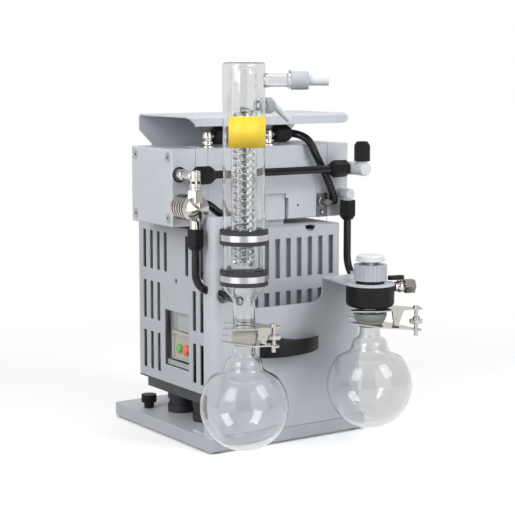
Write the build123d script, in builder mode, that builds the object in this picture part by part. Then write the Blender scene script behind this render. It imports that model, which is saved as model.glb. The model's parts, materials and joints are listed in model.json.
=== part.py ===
from build123d import *
from math import cos, radians, sin, tan
import os

os.makedirs("parts", exist_ok=True)

# Driving dimensions in millimetres. X runs along the front, Y to the back, Z up from the bench.
# The origin lies on the bench, under the middle of the whole unit.
PLATE_LEFT = -105.5
PLATE_FRONT = -58.9
SHEET = 2.0
SLIP = 0.3

# Base plate on four rubber feet
FOOT_HEIGHT = 3.0
FOOT_RADIUS = 9.0
FOOT_INSET = 15.0
PLATE_WIDTH = 237.0
PLATE_DEPTH = 242.0
PLATE_THICK = 16.0
PLATE_CORNER = 5.0
PLATE_TOP = FOOT_HEIGHT + PLATE_THICK
PLATE_RIGHT = PLATE_LEFT + PLATE_WIDTH

# Front panel: a bent sheet with a cut-out and an arm that carries the separator
PANEL_LEFT = PLATE_LEFT + 6.0
PANEL_RIGHT = PLATE_RIGHT - 6.0
PANEL_FRONT = PLATE_FRONT + 0.5
PANEL_BEND = 12.0
PANEL_RETURN = 24.0
PANEL_TOP = 288.5
CUTOUT_LEFT = PLATE_LEFT + 64.0
CUTOUT_RIGHT = PLATE_RIGHT - 70.0
CUTOUT_BOTTOM = 173.5
CUTOUT_CORNER = 13.0
FOOT_FLANGE_DEPTH = 71.0
FOOT_FLANGE_CHAMFER = 22.0
ARM_TOP = 204.0

# Condenser and left flask stand on one vertical axis, separator and right flask on another
CONDENSER = (PLATE_LEFT + 12.5, PLATE_FRONT - 54.5)
SEPARATOR = (PLATE_RIGHT - 51.5, PLATE_FRONT - 71.7)
OUTWARD = -34.0
FLASK_RADIUS = 52.5
GLASS = 2.0
NECK_RADIUS = 12.8
LEFT_JOINT_Z = 158.0
RIGHT_JOINT_Z = 165.5
JOINT_TO_FLASK = 88.0
LEFT_JOINT_RADIUS = 16.5
RIGHT_JOINT_RADIUS = 20.0
JOINT_HALF = 6.5
JACKET_RADIUS = 24.6
JACKET_BOTTOM = 214.0
JACKET_TOP = 470.5
TAPER_HEIGHT = 20.0
CORE_RADIUS = 15.1
CORE_WALL = 1.5
CORE_TOP = 465.5
COIL_BOTTOM = 236.0
COIL_TURNS = 23
COIL_PITCH = 8.0
SIDE_TUBE_Z = 450.0
SIDE_TUBE_RADIUS = 7.5
SIDE_TUBE_REACH = 54.0
SIDE_CAP_RADIUS = 10.5
SIDE_CAP_LENGTH = 20.0
OUTLET_RADIUS = 5.8
OUTLET_LENGTH = 23.0
LOWER_TUBE_Z = 421.0
LOWER_TUBE_ANGLE = 8.0
LOWER_TUBE_REACH = 33.0
LOWER_CAP_LENGTH = 8.0
LOWER_CAP_RADIUS = 9.5
HOSE_NIPPLE_RADIUS = 3.8
HOSE_NIPPLE_LENGTH = 30.0
RING_RADIUS = 28.2
RING_HEIGHT = 17.0
RING_CENTRES = (223.0, 270.5)
BAND_HEIGHT = 7.0
BAND_THICK = 1.0
BRACKET_WIDTH = 14.0

# Separator under the arm, with its screw cap above
BODY_RADIUS = 29.6
BODY_BOTTOM = 175.5
BODY_GROOVES = 5
STEM_RADIUS = 15.0
SEAL_RADIUS = 17.5
CAP_BOTTOM = 208.0
CAP_TOP = 227.0
CAP_RADIUS = 20.3
CAP_FLUTES = 24
LID_BOTTOM = 231.5
LID_RADIUS = 18.3
NOZZLE_ANGLE = -17.0
NOZZLE_Z = 198.0
NOZZLE_END = 57.5
NOZZLE_RADIUS = 8.2

# Housing of the motor on its tray, and the rubber buffers under the tray
HOUSING_LEFT = PLATE_LEFT + 20.0
HOUSING_FRONT = PLATE_FRONT + 38.0
HOUSING_WIDTH = PLATE_WIDTH - 34.5
HOUSING_DEPTH = PLATE_DEPTH - 71.0
HOUSING_BOTTOM = 63.2
HOUSING_TOP = 265.5
HOUSING_CORNER = 4.0
HOUSING_SHEET = 1.5
SLOT_WIDTH = 7.8
SLOT_LENGTH = 50.0
SLOT_CORNER = 0.8
SIDE_PITCH = 17.5
SIDE_ROWS = (99.3, 165.3, 231.5)
FRONT_PITCH = 16.65
FRONT_ROWS = (92.3, 159.0, 226.1)
TRAY_INSET = 4.0
TRAY_BOTTOM = 48.5
BUFFER_RADIUS = 17.0
WINDOW_FRONT = PLATE_FRONT + 82.5
WINDOW_WIDTH = 58.5
WINDOW_BOTTOM = 86.0
WINDOW_HEIGHT = 72.0
BUTTON_SIZE = 13.0
BUTTON_PROUD = 2.5
BUTTON_TRAVEL = 2.0
BUTTON_Z = 112.0
ON_BUTTON_Y = PLATE_FRONT + 107.0
OFF_BUTTON_Y = PLATE_FRONT + 91.0

# Crankcase with a pump head at each end
CASE_LEFT = HOUSING_LEFT - 2.5
CASE_RIGHT = HOUSING_LEFT + HOUSING_WIDTH - 5.0
HEAD_THICK = 33.5
CASE_FRONT = HOUSING_FRONT + 22.0
CASE_DEPTH = 99.0
CASE_BOTTOM = 272.5
CASE_HEIGHT = 94.0
CASE_TOP = CASE_BOTTOM + CASE_HEIGHT
CRANK_Z = CASE_BOTTOM + CASE_HEIGHT / 2
CASE_MIDDLE_Y = CASE_FRONT + CASE_DEPTH / 2
CASE_BORE = 30.0
CHAMBER_RADIUS = 28.0
CHAMBER_DEPTH = 9.0
DIAPHRAGM_RADIUS = 38.0
DIAPHRAGM_THICK = 3.0
SCREW_SPACING_Y = 79.0
SCREW_SPACING_Z = 74.0
SCREW_HEAD_RADIUS = 5.0
HEAD_PORT_UPPER = 336.0
HEAD_PORT_LOWER = 299.0
LEFT_PORT_X = CASE_LEFT - 23.0
VALVE_X = CASE_LEFT - 24.5
RIGHT_PORT_X = CASE_RIGHT + 19.5

# Drive: a vertical motor under the crankcase turns an eccentric between two connecting rods
SHAFT = ((CASE_LEFT + CASE_RIGHT) / 2, CASE_MIDDLE_Y)
SHAFT_RADIUS = 6.0
ECCENTRIC_RADIUS = 15.0
CRANK_THROW = 1.5
STROKE = CRANK_THROW
ROD_THICK = 7.5
MOTOR_RADIUS = 58.0
MOTOR_BOTTOM = 104.0
MOTOR_TOP = 200.0
ROTOR_RADIUS = 30.0
FAN_RADIUS = 62.0
FAN_BOTTOM = 74.0
FAN_HEIGHT = 22.0
FAN_BLADES = 8
BEARING_RADIUS = 14.0
BEARING_HEIGHT = 9.0
RUNNING = 0.05

# Carry plate over the heads
CARRY_LEFT = CASE_LEFT - 21.5
CARRY_WIDTH = CASE_RIGHT - CASE_LEFT + 40.0
CARRY_FRONT = PLATE_FRONT + 41.0
CARRY_TOP = 406.5
CARRY_LIP = 12.5
CARRY_WALL_BOTTOM = 345.0
CARRY_BEND = 5.0

# Hoses and compression nuts
HOSE_RADIUS = 4.9
NUT_FLATS = 19.0
NUT_LENGTH = 25.0
NUT_SOCKET = 8.0
LINE_Y = PLATE_FRONT + 33.5
VALVE_Y = PLATE_FRONT + 21.0
TOP_LINE_Y = PLATE_FRONT + 72.0
TOP_LINE_Z = CASE_TOP + 14.5


def save(part, name):
    """Label a finished piece and write it as its own file."""
    part.label = name
    export_step(part, f"parts/{name}.step")


def radial(centre, angle, distance, z):
    """A point at a distance from a vertical axis, in the direction of an angle."""
    x = centre[0] + distance * cos(radians(angle))
    y = centre[1] + distance * sin(radians(angle))
    return (x, y, z)


def heading(angle):
    return (cos(radians(angle)), sin(radians(angle)), 0)


def rod(start, direction, length, radius, mode=Mode.ADD):
    """A round bar from a point along a direction, added to the part in progress."""
    with Locations(Plane(origin=start, z_dir=direction)):
        Cylinder(radius, length, align=(Align.CENTER, Align.CENTER, Align.MIN), mode=mode)


def hole(start, direction, length, radius):
    """A round hole from a point along a direction, cut from the part in progress."""
    rod(start, direction, length, radius, mode=Mode.SUBTRACT)


# Base plate: a folded tray, open underneath
with BuildPart() as base_plate:
    with BuildSketch(Plane.XY.offset(FOOT_HEIGHT)):
        with Locations((PLATE_LEFT + PLATE_WIDTH / 2, PLATE_FRONT + PLATE_DEPTH / 2)):
            RectangleRounded(PLATE_WIDTH, PLATE_DEPTH, PLATE_CORNER)
    extrude(amount=PLATE_THICK)
    offset(amount=-SHEET, openings=base_plate.faces().sort_by(Axis.Z)[0])
    TRANSPORT = (PLATE_LEFT + 23.0, PLATE_FRONT + 189.0)
    TRANSPORT_RADIUS = 3.0
    hole((*TRANSPORT, FOOT_HEIGHT), (0, 0, 1), PLATE_THICK + 1, TRANSPORT_RADIUS + RUNNING)
save(base_plate.part, "base_plate")

with BuildPart() as plate_feet:
    with Locations((PLATE_LEFT + PLATE_WIDTH / 2, PLATE_FRONT + PLATE_DEPTH / 2, 0)):
        with GridLocations(PLATE_WIDTH - 2 * FOOT_INSET, PLATE_DEPTH - 2 * FOOT_INSET, 2, 2):
            Cone(
                FOOT_RADIUS,
                FOOT_RADIUS + 1,
                PLATE_TOP - SHEET,
                align=(Align.CENTER, Align.CENTER, Align.MIN),
            )
save(plate_feet.part, "plate_feet")

# Front panel
with BuildPart() as front_panel:
    with BuildSketch(Plane.XY.offset(PLATE_TOP)):
        with BuildLine():
            FilletPolyline(
                (PANEL_LEFT, PANEL_FRONT + PANEL_RETURN),
                (PANEL_LEFT, PANEL_FRONT),
                (PANEL_RIGHT, PANEL_FRONT),
                (PANEL_RIGHT, PANEL_FRONT + PANEL_RETURN),
                radius=PANEL_BEND,
            )
            offset(amount=SHEET, side=Side.LEFT)
        make_face()
    extrude(amount=PANEL_TOP - PLATE_TOP)
    with BuildSketch(Plane.XZ.offset(-PANEL_FRONT - PANEL_RETURN - 1)) as panel_cut:
        with BuildLine():
            FilletPolyline(
                (CUTOUT_LEFT, PANEL_TOP + 1),
                (CUTOUT_LEFT, CUTOUT_BOTTOM),
                (CUTOUT_RIGHT, CUTOUT_BOTTOM),
                (CUTOUT_RIGHT, ARM_TOP),
                (PANEL_RIGHT + 1, ARM_TOP),
                (PANEL_RIGHT + 1, PANEL_TOP + 1),
                radius=(CUTOUT_CORNER / 2, CUTOUT_CORNER, 0, 0),
            )
            Line((PANEL_RIGHT + 1, PANEL_TOP + 1), (CUTOUT_LEFT, PANEL_TOP + 1))
        make_face()
    extrude(amount=PANEL_RETURN + 2, mode=Mode.SUBTRACT)
    with BuildSketch(Plane.XY.offset(ARM_TOP - SHEET)):
        with Locations(SEPARATOR):
            Circle(BODY_RADIUS + 0.4)
        with Locations(((CUTOUT_RIGHT + PANEL_RIGHT - PANEL_BEND) / 2, PANEL_FRONT + SHEET / 2)):
            Rectangle(PANEL_RIGHT - PANEL_BEND - CUTOUT_RIGHT, SHEET)
        make_hull()
    extrude(amount=SHEET)
    hole((*SEPARATOR, ARM_TOP - SHEET - 1), (0, 0, 1), SHEET + 2, STEM_RADIUS + SLIP)
    with BuildSketch(Plane.XY.offset(PLATE_TOP)):
        with BuildLine():
            back = PANEL_FRONT + FOOT_FLANGE_DEPTH
            Polyline(
                (PANEL_LEFT, PANEL_FRONT + PANEL_BEND),
                (PANEL_LEFT, back - FOOT_FLANGE_CHAMFER),
                (PANEL_LEFT + FOOT_FLANGE_CHAMFER, back),
                (PANEL_RIGHT - FOOT_FLANGE_CHAMFER, back),
                (PANEL_RIGHT, back - FOOT_FLANGE_CHAMFER),
                (PANEL_RIGHT, PANEL_FRONT + PANEL_BEND),
                (PANEL_RIGHT - PANEL_BEND, PANEL_FRONT + SHEET),
                (PANEL_LEFT + PANEL_BEND, PANEL_FRONT + SHEET),
                close=True,
            )
        make_face()
    extrude(amount=SHEET)
    HOSE_HOLE = (PLATE_LEFT + 20.0, 193.5)
    HOSE_HOLE_RADIUS = 9.5
    hole((HOSE_HOLE[0], PANEL_FRONT - 1, HOSE_HOLE[1]), (0, 1, 0), SHEET + 2, HOSE_HOLE_RADIUS)
    NOTCH_Z = 199.5
    hole((PANEL_LEFT - 1, VALVE_Y, NOTCH_Z), (1, 0, 0), SHEET + 2, HOSE_RADIUS + 2)
    with BuildSketch(Plane.YZ.offset(PANEL_LEFT - 1)):
        with Locations((VALVE_Y + PANEL_RETURN / 2, NOTCH_Z)):
            Rectangle(PANEL_RETURN, 2 * HOSE_RADIUS + 4)
    extrude(amount=SHEET + 2, mode=Mode.SUBTRACT)
save(front_panel.part, "front_panel")

# Grip under the cut-out: a moulded ledge with a bowed front
GRIP_LEFT = PLATE_LEFT + 72.0
GRIP_WIDTH = 86.0
GRIP_REACH = 22.0
GRIP_BOTTOM = 112.5
GRIP_HEIGHT = 21.0
GRIP_FALL = 8.0
with BuildPart() as panel_grip:
    with BuildSketch(Plane.XY.offset(GRIP_BOTTOM)):
        with BuildLine():
            Polyline(
                (GRIP_LEFT, PANEL_FRONT - 5),
                (GRIP_LEFT, PANEL_FRONT),
                (GRIP_LEFT + GRIP_WIDTH, PANEL_FRONT),
                (GRIP_LEFT + GRIP_WIDTH, PANEL_FRONT - 5),
            )
            ThreePointArc(
                (GRIP_LEFT + GRIP_WIDTH, PANEL_FRONT - 5),
                (GRIP_LEFT + GRIP_WIDTH / 2, PANEL_FRONT - GRIP_REACH),
                (GRIP_LEFT, PANEL_FRONT - 5),
            )
        make_face()
    extrude(amount=GRIP_HEIGHT)
    fillet(panel_grip.edges().filter_by(Axis.Z).group_by(Axis.Y)[0], 3)
    with BuildSketch(Plane.YZ.offset(GRIP_LEFT - 1)):
        with BuildLine():
            Polyline(
                (PANEL_FRONT, GRIP_BOTTOM + GRIP_HEIGHT),
                (PANEL_FRONT - GRIP_REACH - 1, GRIP_BOTTOM + GRIP_HEIGHT - GRIP_FALL),
                (PANEL_FRONT - GRIP_REACH - 1, GRIP_BOTTOM + GRIP_HEIGHT + 1),
                (PANEL_FRONT, GRIP_BOTTOM + GRIP_HEIGHT + 1),
                close=True,
            )
        make_face()
    extrude(amount=GRIP_WIDTH + 2, mode=Mode.SUBTRACT)
    fillet(panel_grip.faces().sort_by(Axis.Z)[0].edges().group_by(Axis.Y)[0], 2)
save(panel_grip.part, "panel_grip")

# Pump tray and its buffers
TRAY_WIDTH = HOUSING_WIDTH - 2 * TRAY_INSET
TRAY_DEPTH = HOUSING_DEPTH - 18.0
TRAY_CENTRE = (HOUSING_LEFT + HOUSING_WIDTH / 2, HOUSING_FRONT + HOUSING_DEPTH / 2 - 3)
with BuildPart() as pump_tray:
    with BuildSketch(Plane.XY.offset(TRAY_BOTTOM)):
        with Locations(TRAY_CENTRE):
            RectangleRounded(TRAY_WIDTH, TRAY_DEPTH, 6)
    extrude(amount=HOUSING_BOTTOM - TRAY_BOTTOM)
    offset(amount=-SHEET, openings=pump_tray.faces().sort_by(Axis.Z)[0])
    with BuildSketch(Plane.XY.offset(HOUSING_BOTTOM - SHEET)):
        with Locations((HOUSING_LEFT + HOUSING_WIDTH / 2, HOUSING_FRONT + HOUSING_DEPTH / 2)):
            RectangleRounded(HOUSING_WIDTH, HOUSING_DEPTH, HOUSING_CORNER)
    extrude(amount=SHEET)
save(pump_tray.part, "pump_tray")

BUFFER_SPACING = (TRAY_WIDTH - 3 * BUFFER_RADIUS, 62.0)
with BuildPart() as rubber_buffers:
    with BuildSketch(Plane.XY.offset(PLATE_TOP)):
        with Locations(TRAY_CENTRE):
            with GridLocations(*BUFFER_SPACING, 2, 2):
                Circle(BUFFER_RADIUS)
    extrude(amount=HOUSING_BOTTOM - SHEET - PLATE_TOP)
    with BuildSketch(Plane.XY.offset(PLATE_TOP + 10)):
        with Locations(TRAY_CENTRE):
            with GridLocations(*BUFFER_SPACING, 2, 2):
                Circle(BUFFER_RADIUS + 1)
                Circle(BUFFER_RADIUS - 2, mode=Mode.SUBTRACT)
    extrude(amount=8, mode=Mode.SUBTRACT)
save(rubber_buffers.part, "rubber_buffers")

with BuildPart() as transport_screw:
    with BuildSketch(Plane(origin=(*TRANSPORT, PLATE_TOP + 8))):
        Circle(10)
        with PolarLocations(10.4, 20):
            Circle(1, mode=Mode.SUBTRACT)
    extrude(amount=10)
    rod((*TRANSPORT, PLATE_TOP + SLIP), (0, 0, 1), 8, 6.5)
    rod((*TRANSPORT, FOOT_HEIGHT + 3), (0, 0, 1), PLATE_THICK, TRANSPORT_RADIUS)
save(transport_screw.part, "transport_screw")

# Motor housing with its slots and switch window
HOUSING_MIDDLE = (HOUSING_LEFT + HOUSING_WIDTH / 2, HOUSING_FRONT + HOUSING_DEPTH / 2)
MOTOR_NECK_RADIUS = 25.0
SIDE_SLOTS = [HOUSING_FRONT + 13.3 + SIDE_PITCH * i for i in range(9)]
FRONT_SLOTS = [HOUSING_LEFT + 20.9 + FRONT_PITCH * i for i in range(11)]
WINDOW_BACK = WINDOW_FRONT + WINDOW_WIDTH


def left_slots():
    """Slots of the left wall: whole columns beside the window, and the top row above it."""
    spots = []
    for y in SIDE_SLOTS:
        beside = y < WINDOW_FRONT - SLOT_WIDTH or y > WINDOW_BACK + SLOT_WIDTH
        blank = abs(y - (WINDOW_FRONT + WINDOW_BACK) / 2) < SIDE_PITCH
        for z in SIDE_ROWS:
            if beside or (z == SIDE_ROWS[-1] and not blank):
                spots.append((y, z))
    return spots


with BuildPart() as motor_housing:
    with BuildSketch(Plane.XY.offset(HOUSING_BOTTOM)):
        with Locations(HOUSING_MIDDLE):
            RectangleRounded(HOUSING_WIDTH, HOUSING_DEPTH, HOUSING_CORNER)
    extrude(amount=HOUSING_TOP - HOUSING_BOTTOM)
    offset(amount=-HOUSING_SHEET, openings=motor_housing.faces().sort_by(Axis.Z)[0])
    with BuildSketch(Plane.YZ.offset(HOUSING_LEFT - 1)):
        with Locations(*left_slots()):
            RectangleRounded(SLOT_WIDTH, SLOT_LENGTH, SLOT_CORNER)
        with Locations((WINDOW_FRONT + WINDOW_WIDTH / 2, WINDOW_BOTTOM + WINDOW_HEIGHT / 2)):
            Rectangle(WINDOW_WIDTH, WINDOW_HEIGHT)
    extrude(amount=HOUSING_SHEET + 2, mode=Mode.SUBTRACT)
    with BuildSketch(Plane.YZ.offset(HOUSING_LEFT + HOUSING_WIDTH - HOUSING_SHEET - 1)):
        with Locations(*[(y, z) for y in SIDE_SLOTS for z in SIDE_ROWS]):
            RectangleRounded(SLOT_WIDTH, SLOT_LENGTH, SLOT_CORNER)
    extrude(amount=HOUSING_SHEET + 2, mode=Mode.SUBTRACT)
    with BuildSketch(Plane.XZ.offset(-HOUSING_FRONT + 1)):
        with Locations(*[(x, z) for x in FRONT_SLOTS for z in FRONT_ROWS]):
            RectangleRounded(SLOT_WIDTH, SLOT_LENGTH, SLOT_CORNER)
    extrude(amount=-HOUSING_SHEET - 2, mode=Mode.SUBTRACT)
    hole((*SHAFT, HOUSING_TOP - HOUSING_SHEET - 1), (0, 0, 1), HOUSING_SHEET + 2, MOTOR_NECK_RADIUS)
    hole((HOUSING_LEFT - 1, WINDOW_FRONT + 29.5, 197.5), (1, 0, 0), HOUSING_SHEET + 2, 2.2)
    hole((HOUSING_LEFT + 155, HOUSING_FRONT - 1, HOUSING_TOP), (0, 1, 0), 14, 8)
save(motor_housing.part, "motor_housing")

# Switch behind the window
INSIDE_LEFT = HOUSING_LEFT + HOUSING_SHEET
SWITCH_THICK = 14.0
BUTTON_SPOTS = ((ON_BUTTON_Y, BUTTON_Z), (OFF_BUTTON_Y, BUTTON_Z))
with BuildPart() as switch_block:
    with BuildSketch(Plane.YZ.offset(INSIDE_LEFT)):
        with Locations((WINDOW_FRONT + WINDOW_WIDTH / 2, WINDOW_BOTTOM + 21)):
            Rectangle(WINDOW_WIDTH + 8, 46)
        with Locations((WINDOW_FRONT + 15, WINDOW_BOTTOM + 56)):
            Rectangle(34, 40)
    extrude(amount=SHEET)
    with BuildSketch(Plane.YZ.offset(INSIDE_LEFT)):
        with Locations((WINDOW_FRONT + 20.5, BUTTON_Z)):
            RectangleRounded(38, 33, 2)
    extrude(amount=SWITCH_THICK)
    with BuildSketch(Plane.YZ.offset(INSIDE_LEFT - 0.5)):
        with Locations(*BUTTON_SPOTS):
            RectangleRounded(BUTTON_SIZE + 2 * SLIP, BUTTON_SIZE + 2 * SLIP, 3)
    extrude(amount=SWITCH_THICK - 2, mode=Mode.SUBTRACT)
save(switch_block.part, "switch_block")

for button_name, button_y in (("on_button", ON_BUTTON_Y), ("off_button", OFF_BUTTON_Y)):
    with BuildPart() as button:
        with BuildSketch(Plane.YZ.offset(INSIDE_LEFT - BUTTON_PROUD)):
            with Locations((button_y, BUTTON_Z)):
                RectangleRounded(BUTTON_SIZE, BUTTON_SIZE, 2.7)
        extrude(amount=BUTTON_PROUD + SWITCH_THICK - 2 - 0.5 - BUTTON_TRAVEL - SLIP)
        fillet(button.faces().sort_by(Axis.X)[0].edges(), 1)
    save(button.part, button_name)

CAPACITOR_RADIUS = 15.0
CAPACITOR_HEIGHT = 98.0
CAPACITOR_FOOT = (INSIDE_LEFT + 4.5 + CAPACITOR_RADIUS, WINDOW_BACK - 3, HOUSING_BOTTOM)
with BuildPart() as run_capacitor:
    rod(CAPACITOR_FOOT, (0, 0, 1), CAPACITOR_HEIGHT, CAPACITOR_RADIUS)
    fillet(run_capacitor.faces().sort_by(Axis.Z)[-1].edges(), 2)
save(run_capacitor.part, "run_capacitor")

# Motor: a closed can with a neck up to the housing's roof, bearings, shaft with rotor, fan
with BuildPart() as motor_body:
    with BuildSketch(Plane.XZ.offset(-SHAFT[1])):
        with BuildLine():
            Polyline(
                (SHAFT[0] + SHAFT_RADIUS + 2, MOTOR_BOTTOM + BEARING_HEIGHT),
                (SHAFT[0] + BEARING_RADIUS, MOTOR_BOTTOM + BEARING_HEIGHT),
                (SHAFT[0] + BEARING_RADIUS, MOTOR_BOTTOM),
                (SHAFT[0] + MOTOR_RADIUS, MOTOR_BOTTOM),
                (SHAFT[0] + MOTOR_RADIUS, MOTOR_TOP),
                (SHAFT[0] + MOTOR_NECK_RADIUS, MOTOR_TOP + 12),
                (SHAFT[0] + MOTOR_NECK_RADIUS, CASE_BOTTOM),
                (SHAFT[0] + SHAFT_RADIUS + 2, CASE_BOTTOM),
                (SHAFT[0] + SHAFT_RADIUS + 2, MOTOR_TOP - 8),
                (SHAFT[0] + ROTOR_RADIUS + 1, MOTOR_TOP - 8),
                (SHAFT[0] + ROTOR_RADIUS + 1, MOTOR_BOTTOM + 16),
                (SHAFT[0] + SHAFT_RADIUS + 2, MOTOR_BOTTOM + 16),
                close=True,
            )
        make_face()
    revolve(axis=Axis((SHAFT[0], SHAFT[1], 0), (0, 0, 1)))
save(motor_body.part, "motor_body")

CASE_FLOOR = CRANK_Z - CASE_BORE
UPPER_BEARING_Z = CASE_BOTTOM + 3
with BuildPart() as motor_bearings:
    for bearing_z in (MOTOR_BOTTOM, UPPER_BEARING_Z):
        rod((*SHAFT, bearing_z), (0, 0, 1), BEARING_HEIGHT, BEARING_RADIUS)
        hole((*SHAFT, bearing_z - 1), (0, 0, 1), BEARING_HEIGHT + 2, SHAFT_RADIUS + RUNNING)
save(motor_bearings.part, "motor_bearings")

ECCENTRIC_CENTRE = (SHAFT[0], SHAFT[1] + CRANK_THROW)
ROD_LOW = CRANK_Z - ROD_THICK - SLIP / 2
ROD_HIGH = CRANK_Z + SLIP / 2
with BuildPart() as drive_shaft:
    rod((*SHAFT, FAN_BOTTOM), (0, 0, 1), ROD_HIGH + ROD_THICK + 2 - FAN_BOTTOM, SHAFT_RADIUS)
    rod((*SHAFT, MOTOR_BOTTOM + 20), (0, 0, 1), MOTOR_TOP - MOTOR_BOTTOM - 32, ROTOR_RADIUS)
    rod((*ECCENTRIC_CENTRE, ROD_LOW - 1), (0, 0, 1), 2 * ROD_THICK + 2, ECCENTRIC_RADIUS)
    rod((*SHAFT, ROD_LOW - SLIP - 4), (0, 0, 1), 4, ECCENTRIC_RADIUS + 5)
save(drive_shaft.part, "drive_shaft")

with BuildPart() as cooling_fan:
    rod((*SHAFT, FAN_BOTTOM), (0, 0, 1), FAN_HEIGHT, 13)
    with BuildSketch(Plane(origin=(*SHAFT, FAN_BOTTOM))):
        Circle(FAN_RADIUS)
        Circle(12, mode=Mode.SUBTRACT)
    extrude(amount=SHEET)
    with BuildSketch(Plane(origin=(*SHAFT, FAN_BOTTOM))):
        with PolarLocations((FAN_RADIUS + 12) / 2, FAN_BLADES):
            Rectangle(FAN_RADIUS - 12, SHEET)
    extrude(amount=FAN_HEIGHT)
    hole((*SHAFT, FAN_BOTTOM - 1), (0, 0, 1), FAN_HEIGHT + 2, SHAFT_RADIUS)
save(cooling_fan.part, "cooling_fan")

HOUSING_BACK = HOUSING_FRONT + HOUSING_DEPTH
GLAND = (HOUSING_LEFT + 160.0, HOUSING_BACK, 85.0)
with BuildPart() as mains_gland:
    with BuildSketch(Plane(origin=GLAND, z_dir=(0, 1, 0))):
        RegularPolygon(9.5, 6, major_radius=False)
    extrude(amount=6)
    rod(GLAND, (0, 1, 0), 16, 8)
    fillet(mains_gland.faces().sort_by(Axis.Y)[-1].edges(), 2)
save(mains_gland.part, "mains_gland")

# Crankcase with a bore along X, and its foot on the housing
FOOT_LEFT = CASE_LEFT + 25.0
FOOT_RIGHT = CASE_LEFT + 138.0
SEAM_INSET = 17.5
with BuildPart() as crankcase:
    with BuildSketch(Plane.XY.offset(CASE_BOTTOM)):
        with Locations(((CASE_LEFT + CASE_RIGHT) / 2, CASE_MIDDLE_Y)):
            Rectangle(CASE_RIGHT - CASE_LEFT, CASE_DEPTH)
    extrude(amount=CASE_HEIGHT)
    chamfer(crankcase.edges().filter_by(Axis.X), 1)
    with BuildSketch(Plane.XY.offset(HOUSING_TOP)):
        with Locations(((FOOT_LEFT + FOOT_RIGHT) / 2, CASE_MIDDLE_Y)):
            Rectangle(FOOT_RIGHT - FOOT_LEFT, CASE_DEPTH - 20)
    extrude(amount=CASE_BOTTOM - HOUSING_TOP)
    hole((CASE_LEFT - 1, CASE_MIDDLE_Y, CRANK_Z), (1, 0, 0), CASE_RIGHT - CASE_LEFT + 2, CASE_BORE)
    hole((*SHAFT, HOUSING_TOP - 1), (0, 0, 1), CASE_BOTTOM - HOUSING_TOP + 1, MOTOR_NECK_RADIUS)
    hole((*SHAFT, CASE_BOTTOM - 1), (0, 0, 1), UPPER_BEARING_Z + BEARING_HEIGHT - CASE_BOTTOM + 1, BEARING_RADIUS)
    hole((*SHAFT, CASE_BOTTOM - 1), (0, 0, 1), CASE_FLOOR - CASE_BOTTOM + 4, SHAFT_RADIUS + 2)
    with BuildSketch(Plane.XZ.offset(-CASE_FRONT)):
        with Locations((FOOT_RIGHT - 20, CASE_BOTTOM + 16.5)):
            Rectangle(34, 33)
    extrude(amount=-3, mode=Mode.SUBTRACT)
    with BuildSketch(Plane.XZ.offset(-CASE_FRONT)):
        with Locations((FOOT_RIGHT - 1, CASE_BOTTOM + 13.5)):
            Rectangle(4, 27)
    extrude(amount=-14, mode=Mode.SUBTRACT)
    with BuildSketch(Plane.XY.offset(CASE_TOP)):
        with Locations((CASE_LEFT + 14, CASE_MIDDLE_Y - 18), (CASE_RIGHT - 30, CASE_MIDDLE_Y + 10)):
            RectangleRounded(18, 34, 2)
    extrude(amount=-1.5, mode=Mode.SUBTRACT)
    for seam_x in (CASE_LEFT + SEAM_INSET, CASE_RIGHT - SEAM_INSET):
        with BuildSketch(Plane.YZ.offset(seam_x)):
            with Locations((CASE_MIDDLE_Y, CRANK_Z)):
                Rectangle(CASE_DEPTH + 2, CASE_HEIGHT + 2)
                Rectangle(CASE_DEPTH - 1.2, CASE_HEIGHT - 1.2, mode=Mode.SUBTRACT)
        extrude(amount=0.6, mode=Mode.SUBTRACT)
    hole((FOOT_RIGHT + 15.5, CASE_FRONT - 1, CASE_BOTTOM + 17), (0, 1, 0), 9, 1.8)
save(crankcase.part, "crankcase")

SCREW_GRID = GridLocations(SCREW_SPACING_Y, SCREW_SPACING_Z, 2, 2)


def pump_head(face_x, outward):
    """A square head: chamber towards the crankcase, counterbored screws from the outer face."""
    plane = Plane(origin=(face_x, CASE_MIDDLE_Y, CRANK_Z), x_dir=(0, 1, 0), z_dir=(outward, 0, 0))
    with BuildPart() as head:
        with BuildSketch(plane):
            Rectangle(CASE_DEPTH, CASE_HEIGHT)
        extrude(amount=HEAD_THICK)
        chamfer(head.faces().sort_by(Axis.X)[0 if outward < 0 else -1].edges(), 1.2)
        with BuildSketch(plane):
            Circle(DIAPHRAGM_RADIUS)
        extrude(amount=DIAPHRAGM_THICK, mode=Mode.SUBTRACT)
        with BuildSketch(plane):
            Circle(CHAMBER_RADIUS)
        extrude(amount=DIAPHRAGM_THICK + CHAMBER_DEPTH, mode=Mode.SUBTRACT)
        with BuildSketch(plane.offset(HEAD_THICK)):
            with SCREW_GRID:
                Circle(SCREW_HEAD_RADIUS + 0.8)
        extrude(amount=-3, mode=Mode.SUBTRACT)
    return head.part


save(pump_head(CASE_LEFT, -1), "left_head")
save(pump_head(CASE_RIGHT, 1), "right_head")

with BuildPart() as head_screws:
    for face_x, outward in ((CASE_LEFT - HEAD_THICK + 3, -1), (CASE_RIGHT + HEAD_THICK - 3, 1)):
        seat = Plane(
            origin=(face_x, CASE_MIDDLE_Y, CRANK_Z), x_dir=(0, 1, 0), z_dir=(outward, 0, 0)
        )
        with BuildSketch(seat):
            with SCREW_GRID:
                Circle(SCREW_HEAD_RADIUS)
                RegularPolygon(2.4, 6, mode=Mode.SUBTRACT)
        extrude(amount=3)
        with BuildSketch(seat):
            with SCREW_GRID:
                Circle(SCREW_HEAD_RADIUS)
        extrude(amount=0.8)
save(head_screws.part, "head_screws")

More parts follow.
